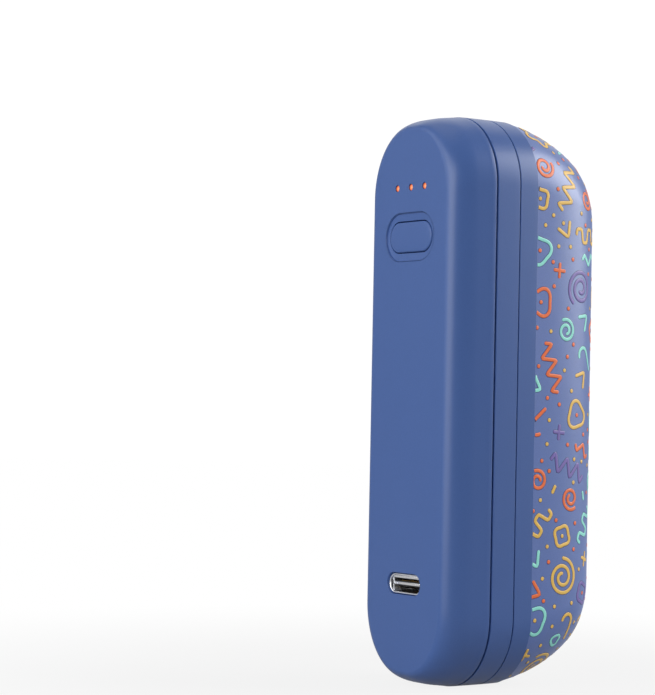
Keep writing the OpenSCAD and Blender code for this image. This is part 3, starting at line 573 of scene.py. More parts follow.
def solder_mask(name):
    """Green mask over copper tracks: even lines of track, broken here and there, and a glassy coat."""
    s = Shader(name)
    track = (waves(s, "X", 1.3) > 0.55) * (s.noise(4.0, detail=0.0, stretch=(2.0, 1.0, 0.35)) > 0.48)
    base = s.blend(track, (0.012, 0.085, 0.036, 1), (0.022, 0.16, 0.065, 1))
    gloss = s.noise(0.5).ramp(0.3, 0.7, 0.22, 0.34)
    return s.principled(Base_Color=base, Roughness=gloss, Normal=s.bump(track, 0.4, 0.03), Coat_Weight=0.3)


def heater_tracks(name):
    """Amber film over etched cross lines: dark metal tracks at an even pitch, short of the film's edges."""
    s = Shader(name)
    track = (waves(s, "Z", 1.8) > 0.2) * (abs(s.axis("X")) < 5.5 * MM)
    base = s.blend(track, (0.63, 0.22, 0.02, 1), (0.30, 0.12, 0.03, 1))
    gloss = s.noise(1.0).ramp(0.3, 0.7, 0.25, 0.4)
    return s.principled(Base_Color=base, Roughness=gloss, Normal=s.bump(track, 0.3, 0.03))


def cell_foam(name, tint):
    """Closed-cell foam: round pores that dent the surface, darkened with painted shade in their hollows."""
    s = Shader(name)
    values = {"Vector": s.place(), "Scale": 1 / (0.6 * MM)}
    pores = s.node("ShaderNodeTexVoronoi", {"feature": "F1"}, values, out="Distance")
    # Darker in the pores: painted shade in the hollows
    base = s.blend(pores.ramp(0.1, 0.6), rgba(tint, 0.5), rgba(tint, 1.2))
    gloss = pores.ramp(0.0, 0.6, 0.8, 0.95)
    return s.principled(Base_Color=base, Roughness=gloss, Normal=s.bump(pores, 0.6, 0.1))


# Hidden resins by slot: the finish's name, screen colour, roughness, grain in mm and the grain's depth
RESINS = {
    "dark_resin": ("dark_resin", (36, 36, 38), 0.4),
    "light_package": ("light_package", (234, 232, 224), 0.35, 0.1),
    "chip": ("chip_resin", (48, 48, 52), 0.5, 0.12),
    "coil_core": ("pressed_ferrite", (40, 40, 42), 0.6, 0.2, 0.03),
    "ceramic": ("fired_ceramic", (190, 160, 124), 0.35, 0.1),
    "white_paper": ("insulating_paper", (236, 233, 222), 0.85, 0.4, 0.03),
    "sleeve": ("shrink_sleeve", (50, 132, 106), 0.25, 0.8, 0.01),
    "red_lead": ("red_insulation", (196, 34, 28), 0.45),
    "black_lead": ("black_insulation", (24, 24, 26), 0.45),
    "white_lead": ("white_insulation", (230, 228, 220), 0.45),
    "cradle": ("cradle_resin", (142, 146, 152), 0.5),
}
# Hidden metals by slot: the finish's name, screen colour, roughness, streak in mm and the streaks' stretch
METALS = {
    "steel": ("drawn_steel", (206, 203, 198)),
    "contacts": ("gold_flash", (224, 178, 92), 0.2, 0.06),
    "cell_can": ("cell_can", (200, 200, 198), 0.28, 0.12, (1.0, 1.0, 0.06)),
    "nickel": ("nickel_strip", (196, 196, 190), 0.3),
    "spreader": ("pressed_sheet", (206, 208, 212), 0.35, 0.12, (1.0, 1.0, 0.1)),
}


def inner_finishes():
    """One finish for each material slot that is hidden inside."""
    made = {
        "board": solder_mask("board_mask"),
        "foam": cell_foam("closed_cell_foam", from_bytes(74, 74, 78)),
        "film": heater_tracks("heater_tracks"),
    }
    for kind, table in ((moulded, RESINS), (drawn_metal, METALS)):
        for slot, (name, tint, *rest) in table.items():
            made[slot] = kind(name, from_bytes(*tint), *rest)
    return made


# Pieces

# Gap between two walls that overlap, and the flat margin outside a rounded edge, in millimetres
LAP_GAP = 0.06
FLAT_MARGIN = 0.05

# Rings over the casing's rounding and over the dome, and the power that sets the dome's closer at the frame
CASING_RINGS = 26
DOME_RINGS = 46
DOME_PACE = 0.6


def corner_radius(shell):
    return HALF_W - shell.end_flat / 2


def casing_outer(shell, corner, wall=0.0):
    """The casing's skin. Over a depth share s the wall drafts in evenly, and over the last round_depth it
    bulges in by 1 - cos(t) of the rounding while the depth goes by sin(t), t being a quarter turn."""
    seam = BAND_HIGH[1] - shell.tongue
    full = BACK_Y - seam
    straight = full - shell.round_depth
    sin, cos = quarter(CASING_RINGS)
    level = np.linspace(shell.dark_seam / 2, straight, 4, endpoint=False)
    share = np.concatenate([level, straight + shell.round_depth * sin]) / full
    bulge = np.concatenate([np.zeros(len(level)), 1 - cos])
    ix = shell.draft * share + shell.round_sides * bulge
    iz = shell.draft * share + shell.round_ends * bulge
    return body_rings(seam + share * (full - wall), ix, iz, wall, corner)


class WARMER_OT_back_casing(bpy.types.Operator):
    """Makes the back casing with its recess, windows and socket opening."""

    bl_idname = "warmer.back_casing"
    bl_label = "Back casing"

    def execute(self, context):
        shell, detail = sizes()
        corner = corner_radius(shell)
        lap_y = BAND_HIGH[1]
        rim = lap_y - shell.tongue + shell.dark_seam / 2
        outer = casing_outer(shell, corner)
        inner = casing_outer(shell, corner, shell.wall)
        p = Patches()

        # From the edge of the flat back over the rounded rim and the lap to the inside
        above, inward = rounding(shell.edge, 4)
        rounded = body_rings(rim + above, 0, 0, inward, corner)
        laps = offset_rings([rim, lap_y, lap_y], [shell.wall / 2, shell.wall / 2, shell.wall], corner)
        p.tube(np.concatenate([outer[:0:-1], rounded, laps, inner[inner[:, 0, 1] > lap_y]]))

        # Flat back: a thin support ring keeps the rounding's shading off the large face
        shrink = [0.994, 1, 0.9985]
        support = MIDDLE + (outer[-1] - MIDDLE) * shrink
        p.tube(np.stack([outer[-1], support]))
        openings = self.openings(shell, detail)
        for rings in openings:
            p.tube(rings)
        p.plate(support, [rings[0] for rings in openings])
        p.plate(inner[-1], [rings[-1] for rings in openings])
        material = soft_touch("shell_soft_touch", context.scene.hand_warmer.colours.shell)
        obj = p.piece("back_casing_shell", material)
        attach(obj, "housing")
        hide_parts("back_casing")
        return {"FINISHED"}

    def openings(self, shell, detail):
        """Each opening's rings, from the flat back down its walls to the casing's inside."""
        ceiling = BACK_Y - shell.wall

        # The recess: a flat margin, a rounded rim, a wall with draft and a rounded foot on the floor
        margin, draft = 0.06, 0.02
        rim_out, rim_down = rounding(0.12)
        foot_up, foot_in = rounding(0.08)
        floor = BACK_Y - detail.recess_depth
        out = np.array([margin, *rim_out, *(-draft - foot_in)])
        y = [BACK_Y, *(BACK_Y - rim_down), *(floor + foot_up)]
        recess = stadium_rings(y, detail.recess_length / 2 + out, detail.recess_width / 2 + out, BUTTON_Z)

        # The cap's hole in the recess's floor, with a rounded lip
        lip_out, lip_down = rounding(0.05)
        out = np.array([*lip_out, 0]) + detail.cap_gap
        y = [*(floor - lip_down), ceiling]
        hole = stadium_rings(y, detail.cap_length / 2 + out, detail.cap_width / 2 + out, BUTTON_Z)

        # The windows and the socket's opening have the same rounded edge
        window_margin, socket_margin = detail.hole_edge + np.array([0.03, 0.04])
        edge_out, edge_down = rounding(detail.hole_edge)
        y = [BACK_Y, *(BACK_Y - edge_down), ceiling]
        out = np.array([window_margin, *edge_out, 0])
        windows = [circle_rings(y, detail.window / 2 + out, x, LIGHT_Z) for x in PIPE_X]
        out = np.array([socket_margin, *edge_out, 0])
        half_l, _, half_w = SOCKET_HALF + detail.socket_gap
        socket = stadium_rings(y, half_l + out, half_w + out, SOCKET_Z)
        return [np.concatenate([recess, hole]), *windows, socket]


class WARMER_OT_band_and_frame(bpy.types.Operator):
    """Makes the plain band and the plain front frame as walls swept round the body."""

    bl_idname = "warmer.band_and_frame"
    bl_label = "Band and frame"

    def execute(self, context):
        shell, _ = sizes()
        wall, tongue, deep = shell.wall, shell.tongue, shell.fine_seam_depth
        seam = BAND_HIGH[1] - tongue
        fine = BAND_LOW[1]
        groove = fine + shell.fine_seam
        edge = seam - shell.dark_seam / 2
        front = RIM_Y
        lap = wall / 2 + LAP_GAP
        step = shell.panel_step + wall / 2
        out, down = rounding(shell.edge, 4)
        # Rows beside the edges keep the strips' shading flat
        margin = shell.edge + FLAT_MARGIN
        rows = 6
        band_y = np.linspace(groove + margin, edge - margin, rows)
        frame_y = np.linspace(front + margin, fine - margin, rows)

        def bow(y):
            """Both strips together draw in a little towards the front."""
            return shell.bow * ((seam - y) / (seam - front)) ** 2

        # Each wall's section as pairs of depth and inset
        band = [(fine, wall), (fine, deep), (groove, deep)]
        band += [*zip(groove + down, out + bow(groove)), *zip(band_y, bow(band_y)), *zip(edge - out, down)]
        band += [(edge, lap), (seam + tongue, lap), (seam + tongue, wall)]
        frame_wall = [*zip(front + down, out + bow(front)), *zip(frame_y, bow(frame_y))]
        frame_wall += [*zip(fine - out, down + bow(fine)), (fine, wall)]
        frame_wall += [(front + tongue, wall), (front + tongue, step), (front, step)]
        for name, node, section in (
            ("middle_band_shell", "middle_band", band),
            ("front_frame_shell", "front_frame", frame_wall),
        ):
            y, inset = np.array(section).T
            p = Patches()
            p.tube(offset_rings(y, inset, corner_radius(shell)), loop=True)
            obj = p.piece(name, bpy.data.materials["shell_soft_touch"])
            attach(obj, "housing")
            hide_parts(node)
        return {"FINISHED"}


def dome_rings(shell, wall, depth):
    """The dome's rings from the frame to the crown. A share v of the depth is a power of the sine over a
    quarter turn, and at each the sides and ends draw in by rise(v) of their reach."""
    v = quarter(DOME_RINGS)[0] ** DOME_PACE
    ix = (HALF_W - shell.crown / 2) * rise(v, *SIDE_POWERS)
    iz = shell.end_reach * rise(v, *END_POWERS)
    return body_rings(RIM_Y - v * depth, ix, iz, wall, corner_radius(shell))


class WARMER_OT_front_panel(bpy.types.Operator):
    """Makes the domed front panel that carries the print."""

    bl_idname = "warmer.front_panel"
    bl_label = "Front panel"

    def execute(self, context):
        shell, _ = sizes()
        step, wall = shell.panel_step, shell.wall
        depth = RIM_Y - FRONT_Y
        outer = dome_rings(shell, step, depth)
        inner = dome_rings(shell, step + wall, depth - wall)
        lip = step + wall / 2 + LAP_GAP
        lip_y = RIM_Y + shell.tongue - LAP_GAP
        laps = offset_rings([RIM_Y, lip_y, lip_y], [lip, lip, step + wall], corner_radius(shell))
        p = Patches()
        p.tube(np.concatenate([outer[::-1], laps, inner]))
        p.disc(outer[-1], shrink=(0.97, *CROWN_SHARES))
        p.disc(inner[-1])
        panel = context.scene.hand_warmer.colours.panel
        obj = p.piece("front_panel_shell", soft_touch("panel_soft_touch", panel, grain=0.08, ior=1.65))
        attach(obj, "housing")
        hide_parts("front_panel")
        return {"FINISHED"}


class WARMER_OT_button(bpy.types.Operator):
    """Makes the button cap with its soft upper edge, flange and post."""

    bl_idname = "warmer.button"
    bl_label = "Button"

    def execute(self, context):
        shell, detail = sizes()
        hl, hw = detail.cap_length / 2, detail.cap_width / 2
        flange = (CAP_HIGH[0] - CAP_LOW[0]) / 2 - hl
        thick, play, crown = 0.7, 0.05, 0.03
        top, low = CAP_HIGH[1], BACK_Y - shell.wall - play - thick
        below, inward = rounding(detail.cap_edge, 7)
        # The last two rings lie on the crown
        inset = np.array([-flange, -flange, 0.0, *inward, 1.1, 2.0])
        y = [low, low + thick, low + thick, *(top - crown - below), top - crown * 0.3, top]
        post_radius, overlap = 1.5, 0.2
        p = Patches()
        p.rod(stadium_rings(y, hl - inset, hw - inset, BUTTON_Z))
        p.rod(circle_rings([low + overlap, CAP_LOW[1]], post_radius, 0, BUTTON_Z))
        obj = p.piece("button_cap_moulding", bpy.data.materials["shell_soft_touch"])
        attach(obj, "button")
        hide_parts("button_cap")
        return {"FINISHED"}


class WARMER_OT_lights(bpy.types.Operator):
    """Makes the three light pipes with their domed tips and lights them."""

    bl_idname = "warmer.lights"
    bl_label = "Lights"

    def execute(self, context):
        shell, detail = sizes()
        material = lit_resin_painted_rim_shade("lit_pipe", context.scene.hand_warmer.colours.glow)
        thick = (PIPE_HIGH[2] - PIPE_LOW[2]) / 2
        thin = detail.window / 2 - detail.pipe_gap
        shoulder = BACK_Y - shell.wall
        dome, tip_share = 0.12, 0.15
        sin, cos = quarter(8)
        y = [PIPE_LOW[1], shoulder, shoulder, *(PIPE_HIGH[1] - dome * (1 - sin))]
        radius = [thick, thick, thin, *(thin * (tip_share + (1 - tip_share) * cos))]
        for x, node in zip(PIPE_X, PIPES):
            p = Patches()
            p.rod(circle_rings(y, radius, x, LIGHT_Z), shrink=(0.5, 0.1))
            obj = p.piece(node + "_tip", material, sharp=60)
            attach(obj, "housing")
            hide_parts(node)
        return {"FINISHED"}


class WARMER_OT_socket(bpy.types.Operator):
    """Makes the socket's drawn shell and its tongue."""

    bl_idname = "warmer.socket"
    bl_label = "Charging socket"

    def execute(self, context):
        _, detail = sizes()
        hl, _, hw = SOCKET_HALF
        low, top = SOCKET_LOW[1], SOCKET_HIGH[1]

        # The drawn shell: a soft corner at the closed end, a round lip at the mouth, and the inside
        w = detail.socket_wall
        corner, near, foot = 0.25, 0.07, 0.02
        t = np.linspace(0, np.pi, 9)
        lip_in = w / 2 - w / 2 * np.cos(t)
        lip_y = top - w / 2 + w / 2 * np.sin(t)
        inset = np.array([corner, near, 0, *lip_in, w, w + foot])
        y = [low, low + near, low + corner, *lip_y, low + w + foot, low + w]
        p = Patches()
        p.rod(stadium_rings(y, hl - inset, hw - inset, SOCKET_Z, steps=28))
        steel = drawn_metal("socket_steel", from_bytes(250, 251, 254), 0.2, stretch=(1.0, 0.1, 1.0))
        obj = p.piece("socket_shell_drawn", steel, sharp=60)
        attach(obj, "housing")
        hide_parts("socket_shell")

        # The spring plate under the upper wall, and the tongue's middle plate with its two wings: half the
        # length, the depths and the heights
        tip = node_box("socket_tongue")[1][1]
        ceiling = hw - w
        p = Patches()
        for half_l, y0, y1, z0, z1 in (
            (3.7, low + 2.0, top - 0.1, ceiling - 0.42, ceiling - 0.02),
            (3.25, tip - 0.5, tip + 0.04, -0.2, 0.2),
            (4.0, tip - 1.6, tip - 0.25, -0.2, 0.2),
        ):
            self.plate(p, half_l, y0, y1, SOCKET_Z + z0, SOCKET_Z + z1)
        obj = p.piece("socket_plates", steel, sharp=40)
        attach(obj, "housing")
        return {"FINISHED"}

    def plate(self, patches, half_l, y0, y1, z0, z1):
        """A flat plate whose front edges are rounded."""
        below, inward = rounding(0.05, 4)
        y, inset = as_columns([y0, *(y1 - below)], [0, *inward])
        side_x, side_z = np.array([(1, 1), (-1, 1), (-1, -1), (1, -1)]).T
        z = (z0 + z1) / 2 + side_z * ((z1 - z0) / 2 - inset)
        patches.tube(rings_at(y, side_x * (half_l - inset), z), ends=True)


# The print


def unit(v):
    """Vectors scaled to a length of one."""
    return v / np.linalg.norm(v, axis=-1, keepdims=True)


def tangents(normal):
    """Two directions along a surface, at right angles, for each of its normals."""
    e = unit(np.cross(normal, [0.0, 0.0, 1.0]))
    return e, np.cross(normal, e)


class DomeSkin:
    """Tests for and drops onto the dome's outer skin, in millimetres."""

    def __init__(self, shell):
        self.corner = corner_radius(shell)
        self.depth = RIM_Y - FRONT_Y
        self.side = HALF_W - shell.crown / 2
        self.end = shell.end_reach
        self.step_x = (HALF_W - shell.panel_step) / HALF_W
        self.step_z = (HALF_H - shell.panel_step) / HALF_H

    def level(self, p):
        """Below nothing inside and above it outside: at a point's depth the outline is scaled to the ring
        there, and a rounded rectangle's distance is taken. Behind the rim the walls run on straight."""
        v = (RIM_Y - p[..., 1]) / self.depth
        kx = (1 - self.side / HALF_W * rise(v, *SIDE_POWERS)) * self.step_x
        kz = (1 - self.end / HALF_H * rise(v, *END_POWERS)) * self.step_z
        x = np.abs(p[..., 0]) / kx - (HALF_W - self.corner)
        z = np.abs(p[..., 2] - MID_Z) / kz - (HALF_H - self.corner)
        away = np.hypot(np.maximum(x, 0), np.maximum(z, 0)) + np.minimum(np.maximum(x, z), 0)
        return np.maximum(away - self.corner, (v - 1) * self.depth)

    def drop(self, p, n, reach=0.5, halvings=13):
        """Moves points along their directions n onto the skin, by halving between inside and outside."""
        low = np.full(p.shape[:-1], -reach)
        high = np.full(p.shape[:-1], reach)
        for _ in range(halvings):
            mid = (low + high) / 2
            within = self.level(p + n * mid[..., None]) < 0
            low = np.where(within, mid, low)
            high = np.where(within, high, mid)
        return p + n * ((low + high) / 2)[..., None]

    def normal(self, p):
        """The skin's outward normal at points p: the way in which the level rises most."""
        near = 0.01
        slope = [self.level(p + step) - self.level(p - step) for step in np.eye(3) * near]
        return unit(np.stack(slope, axis=-1))

    def lay(self, anchor, normal, turn, flat, steps=8):
        """Lays flat drawings on the skin. Each point leaves its anchor in its own direction and keeps
        straight on the skin for its own distance, so a drawing bends without being stretched."""
        e, f = tangents(normal)
        cos, sin = np.cos(turn)[:, None], np.sin(turn)[:, None]
        a = flat[..., 0] * cos - flat[..., 1] * sin
        b = flat[..., 0] * sin + flat[..., 1] * cos
        far = np.maximum(np.hypot(a, b), 1e-6)
        way = (a[..., None] * e[:, None] + b[..., None] * f[:, None]) / far[..., None]
        p, n = anchor[:, None], normal[:, None]
        for _ in range(steps):
            p = self.drop(p + way * (far / steps)[..., None], n)
            n = self.normal(p)
            way = unit(way - (way * n).sum(-1, keepdims=True) * n)
        return p, n


def polar(r, turn):
    """Points at a radius and at an angle given in whole turns."""
    return np.stack([r * np.cos(2 * np.pi * turn), r * np.sin(2 * np.pi * turn)], axis=-1)


def spiral(t, small, large, turns):
    """A spiral whose radius grows evenly with its angle."""
    return polar(small + (large - small) * t, turns * t)


def zigzag(t, run, height, turns):
    """A triangle wave with rounded tips: the arcsine of a sine that stops just short of 1."""
    tip = 0.985
    wobble = np.arcsin(tip * np.sin(2 * np.pi * turns * t)) / np.arcsin(tip)
    return np.stack([run * (t - 0.5), height * wobble], axis=-1)


def steps_up(t, run, height, turns):
    """A stair that goes up and down in soft square waves."""
    steep = 3.2
    wobble = np.tanh(steep * np.sin(2 * np.pi * turns * t))
    return np.stack([run * (t - 0.5), height * wobble], axis=-1)


def chevron(t, run, height):
    """Two straight arms that meet in a soft tip."""
    x = 2 * t - 1
    soft = 0.12
    return np.stack([run / 2 * x, height * (0.5 - np.hypot(x, soft))], axis=-1)


def bar(t, run):
    """A straight bar."""
    return np.stack([run * (t - 0.5), 0 * t], axis=-1)


def hook(t, stem, radius):
    """A straight stem that ends in a half circle."""
    total = stem + np.pi * radius
    s = t * total
    straight = s < stem
    angle = (s - stem) / radius
    x = np.where(straight, s - stem, radius * np.sin(angle))
    y = np.where(straight, 0, radius * (1 - np.cos(angle)))
    return np.stack([x + stem / 3, y - radius / 2], axis=-1)


def petal(t, radius, lobes, depth):
    """A closed ring whose radius swells and shrinks once for each lobe."""
    return polar(radius * (1 + depth * np.cos(2 * np.pi * lobes * t)), t)


# Motifs, large ones first: formula, its values, closed, how many, and width as a share of the stroke
MOTIFS = (
    (spiral, (0.55, 3.1, 2.05), False, 10, 1.0),
    (zigzag, (8.4, 1.3, 3.0), False, 9, 1.0),
    (petal, (2.4, 5, 0.2), True, 8, 1.0),
    (steps_up, (6.6, 1.1, 2.0), False, 9, 1.0),
    (petal, (2.1, 3, 0.13), True, 8, 1.0),
    (hook, (3.4, 1.2), False, 12, 1.0),
    (spiral, (0.45, 1.9, 1.6), False, 14, 0.95),
    (petal, (1.6, 4, 0.1), True, 8, 1.0),
    (zigzag, (4.4, 0.85, 1.5), False, 16, 1.0),
    (chevron, (3.0, 2.4), False, 16, 1.0),
    (bar, (2.6,), False, 12, 0.95),
    (petal, (0.95, 3, 0.12), True, 8, 0.9),
    (bar, (1.6,), False, 16, 1.0),
)
CROSSED = (bar, (2.6,))
INKS = ("coral", "yellow", "mint", "coral", "mint", "yellow", "violet", "coral", "mint", "yellow")

# The layout: places on the dome, places tried at a time, room where nothing lies yet, and how far a stroke
# may run past the rim, all lengths in millimetres
SAMPLES = 2400
BATCH = 30
OPEN_ROOM = 3.0
OVERRUN = 1.6

# Points on a stroke while its place is tried, while it is measured, and in the mesh
TRIAL_STEPS = 22
FINE_STEPS = 600
POINT_SPACING = 0.22
POINT_COUNTS = (22, 170)

# The painted shadow's height (a dark sheet round each stroke), the ink's depth under the skin, the reach of
# a drop, and the gap left at the rim
PAINTED_SHADOW_RISE = 0.015
BASE_DEPTH = 0.05
DROP_REACH = 0.3
EDGE_GAP = 0.03


def even_shares(formula, values, count, closed, half):
    """Shares of a motif's own parameter at even steps along its stroke, closer at two round ends."""
    t = np.linspace(0, 1, FINE_STEPS)
    p = formula(t, *values)
    s = np.concatenate([[0], np.cumsum(np.linalg.norm(np.diff(p, axis=0), axis=1))])
    if closed:
        at = np.linspace(0, s[-1], count, endpoint=False)
    else:
        _, rim = rounding(half)
        straight = np.linspace(half, s[-1] - half, count - 2 * len(rim) + 2)[1:-1]
        at = np.concatenate([rim, straight, s[-1] - rim[::-1]])
    return np.interp(at, s, t), at, s[-1]


def distances(a, b):
    """Distance of each point in a from each in b, by |a|^2 + |b|^2 - 2ab."""
    squares = (a**2).sum(1)[:, None] + (b**2).sum(1) - 2 * a @ b.T
    return np.sqrt(np.maximum(squares, 0))


class WARMER_OT_print(bpy.types.Operator):
    """Lays the raised confetti print over the dome."""

    bl_idname = "warmer.print_motifs"
    bl_label = "Print"

    def execute(self, context):
        settings = context.scene.hand_warmer
        shell, _ = sizes()
        self.size = Millimetres(settings.print)
        self.skin = DomeSkin(shell)
        self.edge = RIM_Y - EDGE_GAP
        self.rng = np.random.default_rng(settings.print.seed)
        self.sample_skin(shell)
        self.inks = {k: Patches() for k in ("coral", "yellow", "mint", "violet", "border")}
        strokes, dots = self.arrange()
        for stroke in strokes:
            self.add_strokes(*stroke)
        self.add_dots(*dots)
        for name, patches in self.inks.items():
            tint = getattr(settings.colours, name)
            obj = patches.piece("print_" + name, ink("ink_" + name, tint), sharp=70)
            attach(obj, "housing")
        return {"FINISHED"}

    def sample_skin(self, shell):
        """Places spread evenly over the dome: faces of its rings are drawn by area."""
        rings = dome_rings(shell, shell.panel_step, self.skin.depth)
        crown = np.array([0, FRONT_Y, MID_Z])
        rings = np.concatenate([rings, crown + (rings[-1] - crown) * np.array(CROWN_SHARES)[:, None, None]])
        a, b = rings[:-1], rings[1:]
        c, d = np.roll(a, -1, axis=1), np.roll(b, -1, axis=1)
        area = np.linalg.norm(np.cross(d - a, c - b), axis=-1).ravel()
        cells = self.rng.choice(len(area), SAMPLES, p=area / area.sum())
        a, b, c, d = (v.reshape(-1, 3)[cells] for v in (a, b, c, d))
        u, v = self.rng.random((2, SAMPLES, 1))
        p = (a * (1 - u) + c * u) * (1 - v) + (b * (1 - u) + d * u) * v
        self.places = self.skin.drop(p, self.skin.normal(p))
        self.normals = self.skin.normal(self.places)

    def clear_by(self, points, half):
        """How far points with a half width stay clear of all that is placed."""
        if not len(self.taken):
            return np.full(points.shape[:-1], OPEN_ROOM)
        far = distances(points.reshape(-1, 3), self.taken) - self.widths
        return far.min(1).reshape(points.shape[:-1]) - half

    def take(self, points, half):
        self.taken = np.concatenate([self.taken, points])
        self.widths = np.concatenate([self.widths, np.full(len(points), half)])
        self.room = np.minimum(self.room, distances(self.places, points).min(1) - half)

    def arrange(self):
        """Places the motifs: for each one a batch of random places is tried, and of the clear ones the
        roomiest is kept. Dots then fill the widest gaps."""
        self.taken = np.zeros((0, 3))
        self.widths = np.zeros(0)
        self.room = np.full(len(self.places), OPEN_ROOM)
        gap = self.size.clearance
        strokes = []
        serial = 0
        for formula, values, closed, count, share in MOTIFS:
            half = self.size.stroke * share / 2
            flat = formula(np.linspace(0, 1, TRIAL_STEPS), *values)
            if (formula, values) == CROSSED:
                flat = np.concatenate([flat, flat[:, ::-1]])
            chosen = []
            for _ in range(count):
                clear = self.room - half
                near = self.rng.permutation(np.flatnonzero(clear > gap))
                near = near[np.argsort(-clear[near[: 3 * BATCH]])][:BATCH]
                if not len(near):
                    break
                turns = self.rng.random(len(near)) * 2 * np.pi
                anchors, normals = self.places[near], self.normals[near]
                shape = np.broadcast_to(flat, (len(near), *flat.shape))
                points, _ = self.skin.lay(anchors, normals, turns, shape, 4)
                clear = self.clear_by(points, half).min(-1)
                clear[points[..., 1].max(-1) > RIM_Y + OVERRUN] = 0
                best = int(np.argmax(clear))
                if clear[best] < gap:
                    continue
                self.take(points[best], half)
                chosen.append((anchors[best], normals[best], turns[best], INKS[serial % len(INKS)]))
                serial += 1
            if chosen:
                *placed, tints = zip(*chosen)
                strokes.append(((formula, values, closed, half), *map(np.array, placed), tints))
        return strokes, self.fill_gaps()

    def fill_gaps(self):
        """Dots, each in the widest gap that is left."""
        gap, dot = self.size.clearance, self.size.dot
        chosen = []
        clear = self.room - dot
        least = 0.7 * gap
        while clear.max() > least:
            best = int(np.argmax(clear))
            chosen.append(best)
            away = np.linalg.norm(self.places - self.places[best], axis=-1)
            clear = np.minimum(clear, away - 2 * dot - gap)
        return self.places[chosen], [INKS[k * 5 % len(INKS)] for k in range(len(chosen))]

    def add_strokes(self, motif, anchors, normals, turns, tints):
        """Adds one motif's strokes: the ink, and the dark sheet of painted shadow under it."""
        formula, values, closed, half = motif
        p = formula(np.linspace(0, 1, FINE_STEPS // 2), *values)
        run = np.linalg.norm(np.diff(p, axis=0), axis=1).sum()
        count = int(np.clip(run / POINT_SPACING, *POINT_COUNTS))
        t, at, total = even_shares(formula, values, count, closed, half)
        flats = [formula(t, *values)]
        if (formula, values) == CROSSED:
            flats.append(flats[0][:, ::-1])
        taper = np.ones(len(t))
        if not closed:
            near = np.minimum(at, total - at)
            taper = np.sqrt(np.maximum(1e-4, 1 - np.maximum(0, 1 - near / half) ** 2))
        for flat in flats:
            flat = np.broadcast_to(flat, (len(anchors), *flat.shape))
            points, n = self.skin.lay(anchors, normals, turns, flat)
            if closed:
                along = np.roll(points, -1, axis=1) - np.roll(points, 1, axis=1)
            else:
                along = np.gradient(points, axis=1)
            side = unit(np.cross(n, along))
            for k, tint in enumerate(tints):
                for name, grow, height in self.layers(tint):
                    rings = self.ribbon(points[k], n[k], side[k], taper, half + grow, height)
                    self.add_cut(rings, closed, self.inks[name])

    def layers(self, tint):
        """A stroke's ink and the painted shadow under it, a dark sheet: the piece, how much wider it is, and
        its height.
        """
        return (tint, 0.0, self.size.rise), ("border", self.size.border, PAINTED_SHADOW_RISE)

    def ribbon(self, points, n, side, taper, half, height):
        """A closed ribbon, nearly flat on top and round at its edges; its base lies under the skin."""
        u = np.cos(np.linspace(0, np.pi, 7))
        lift = np.concatenate([height * np.maximum(0, 1 - u**4) ** 0.5, [-BASE_DEPTH, -BASE_DEPTH]])
        u = np.concatenate([u, [-1.0, 1.0]])
        flat = points[:, None] + side[:, None] * (u[:, None] * (half * taper)[:, None, None])
        around = np.broadcast_to(n[:, None], flat.shape)
        lift = np.where(lift > 0, lift * taper[:, None], lift)
        return self.skin.drop(flat, around, DROP_REACH) + around * lift[..., None]

    def add_dots(self, anchors, tints):
        """Small domed discs, and a dark sheet of painted shadow under each."""
        # A single place's normal can be off where the crown meets the sides, so those around it are averaged
        near = np.concatenate([np.eye(3), -np.eye(3)]) * self.size.dot
        normals = unit(self.skin.normal(anchors[:, None] + near).mean(axis=1))
        t = np.linspace(0, 2 * np.pi, 14, endpoint=False)
        for p, n, tint in zip(anchors, normals, tints):
            e, f = tangents(n)
            for name, grow, height in self.layers(tint):
                r = (self.size.dot + grow) * np.array([1.0, 1.0, 0.9, 0.65, 0.25])[:, None]
                lift = np.array([-BASE_DEPTH, 0.0, 0.6 * height, 0.95 * height, height])
                flat = p + (r * np.cos(t))[..., None] * e + (r * np.sin(t))[..., None] * f
                around = np.broadcast_to(n, flat.shape)
                rings = self.skin.drop(flat, around, DROP_REACH) + around * lift[:, None, None]
                self.inks[name].tube(self.hold(rings), ends=True)

    def hold(self, rings):
        """Keeps a print's points in front of the panel's edge."""
        rings = rings.copy()
        rings[..., 1] = np.minimum(rings[..., 1], self.edge)
        return rings

    def add_cut(self, rings, closed, patches):
        """Adds a ribbon, cut off where it runs past the panel's edge: each run of rings in front of it is
        closed by its own two end faces."""
        least_share = 0.35
        front = np.quantile(rings[..., 1], least_share, axis=1) < self.edge
        if closed and front.all():
            patches.tube(rings, loop=True)
            return
        if closed:
            start = int(np.argmin(front))
            rings = np.roll(rings, -start, axis=0)
            front = np.roll(front, -start)
        change = np.flatnonzero(np.diff(np.concatenate([[0], front.astype(int), [0]])))
        for a, b in zip(change[::2], change[1::2]):
            if b - a >= 3:
                patches.tube(self.hold(rings[a:b]), ends=True)


# What is inside, and the stage


class WARMER_OT_inner_parts(bpy.types.Operator):
    """Gives each CAD piece that stays its own procedural finish."""

    bl_idname = "warmer.inner_parts"
    bl_label = "Inner parts"

    def execute(self, context):
        finishes = inner_finishes()
        slots = {s["node"]: s["material_slot"] for s in frame["record"]["subparts"]}
        for name, obj in frame["nodes"].items():
            if obj.hide_render:
                continue
            obj.data.materials.clear()
            obj.data.materials.append(finishes[slots[name]])
        return {"FINISHED"}


# The camera of the photograph's back view. The pixel places are in its frame of 655 by 695.
FRAME_PIXELS = (655, 695)
FOCAL_PIXELS = 2388.0
TARGET_PIXEL = (445.96, 400.86)
TARGET_Y = BAND_HIGH[1] - 1.5
VIEW_AZIMUTH = 234.041
VIEW_ELEVATION = -0.144
VIEW_ROLL = 1.067
VIEW_DISTANCE = 0.3883
SENSOR = 36.0


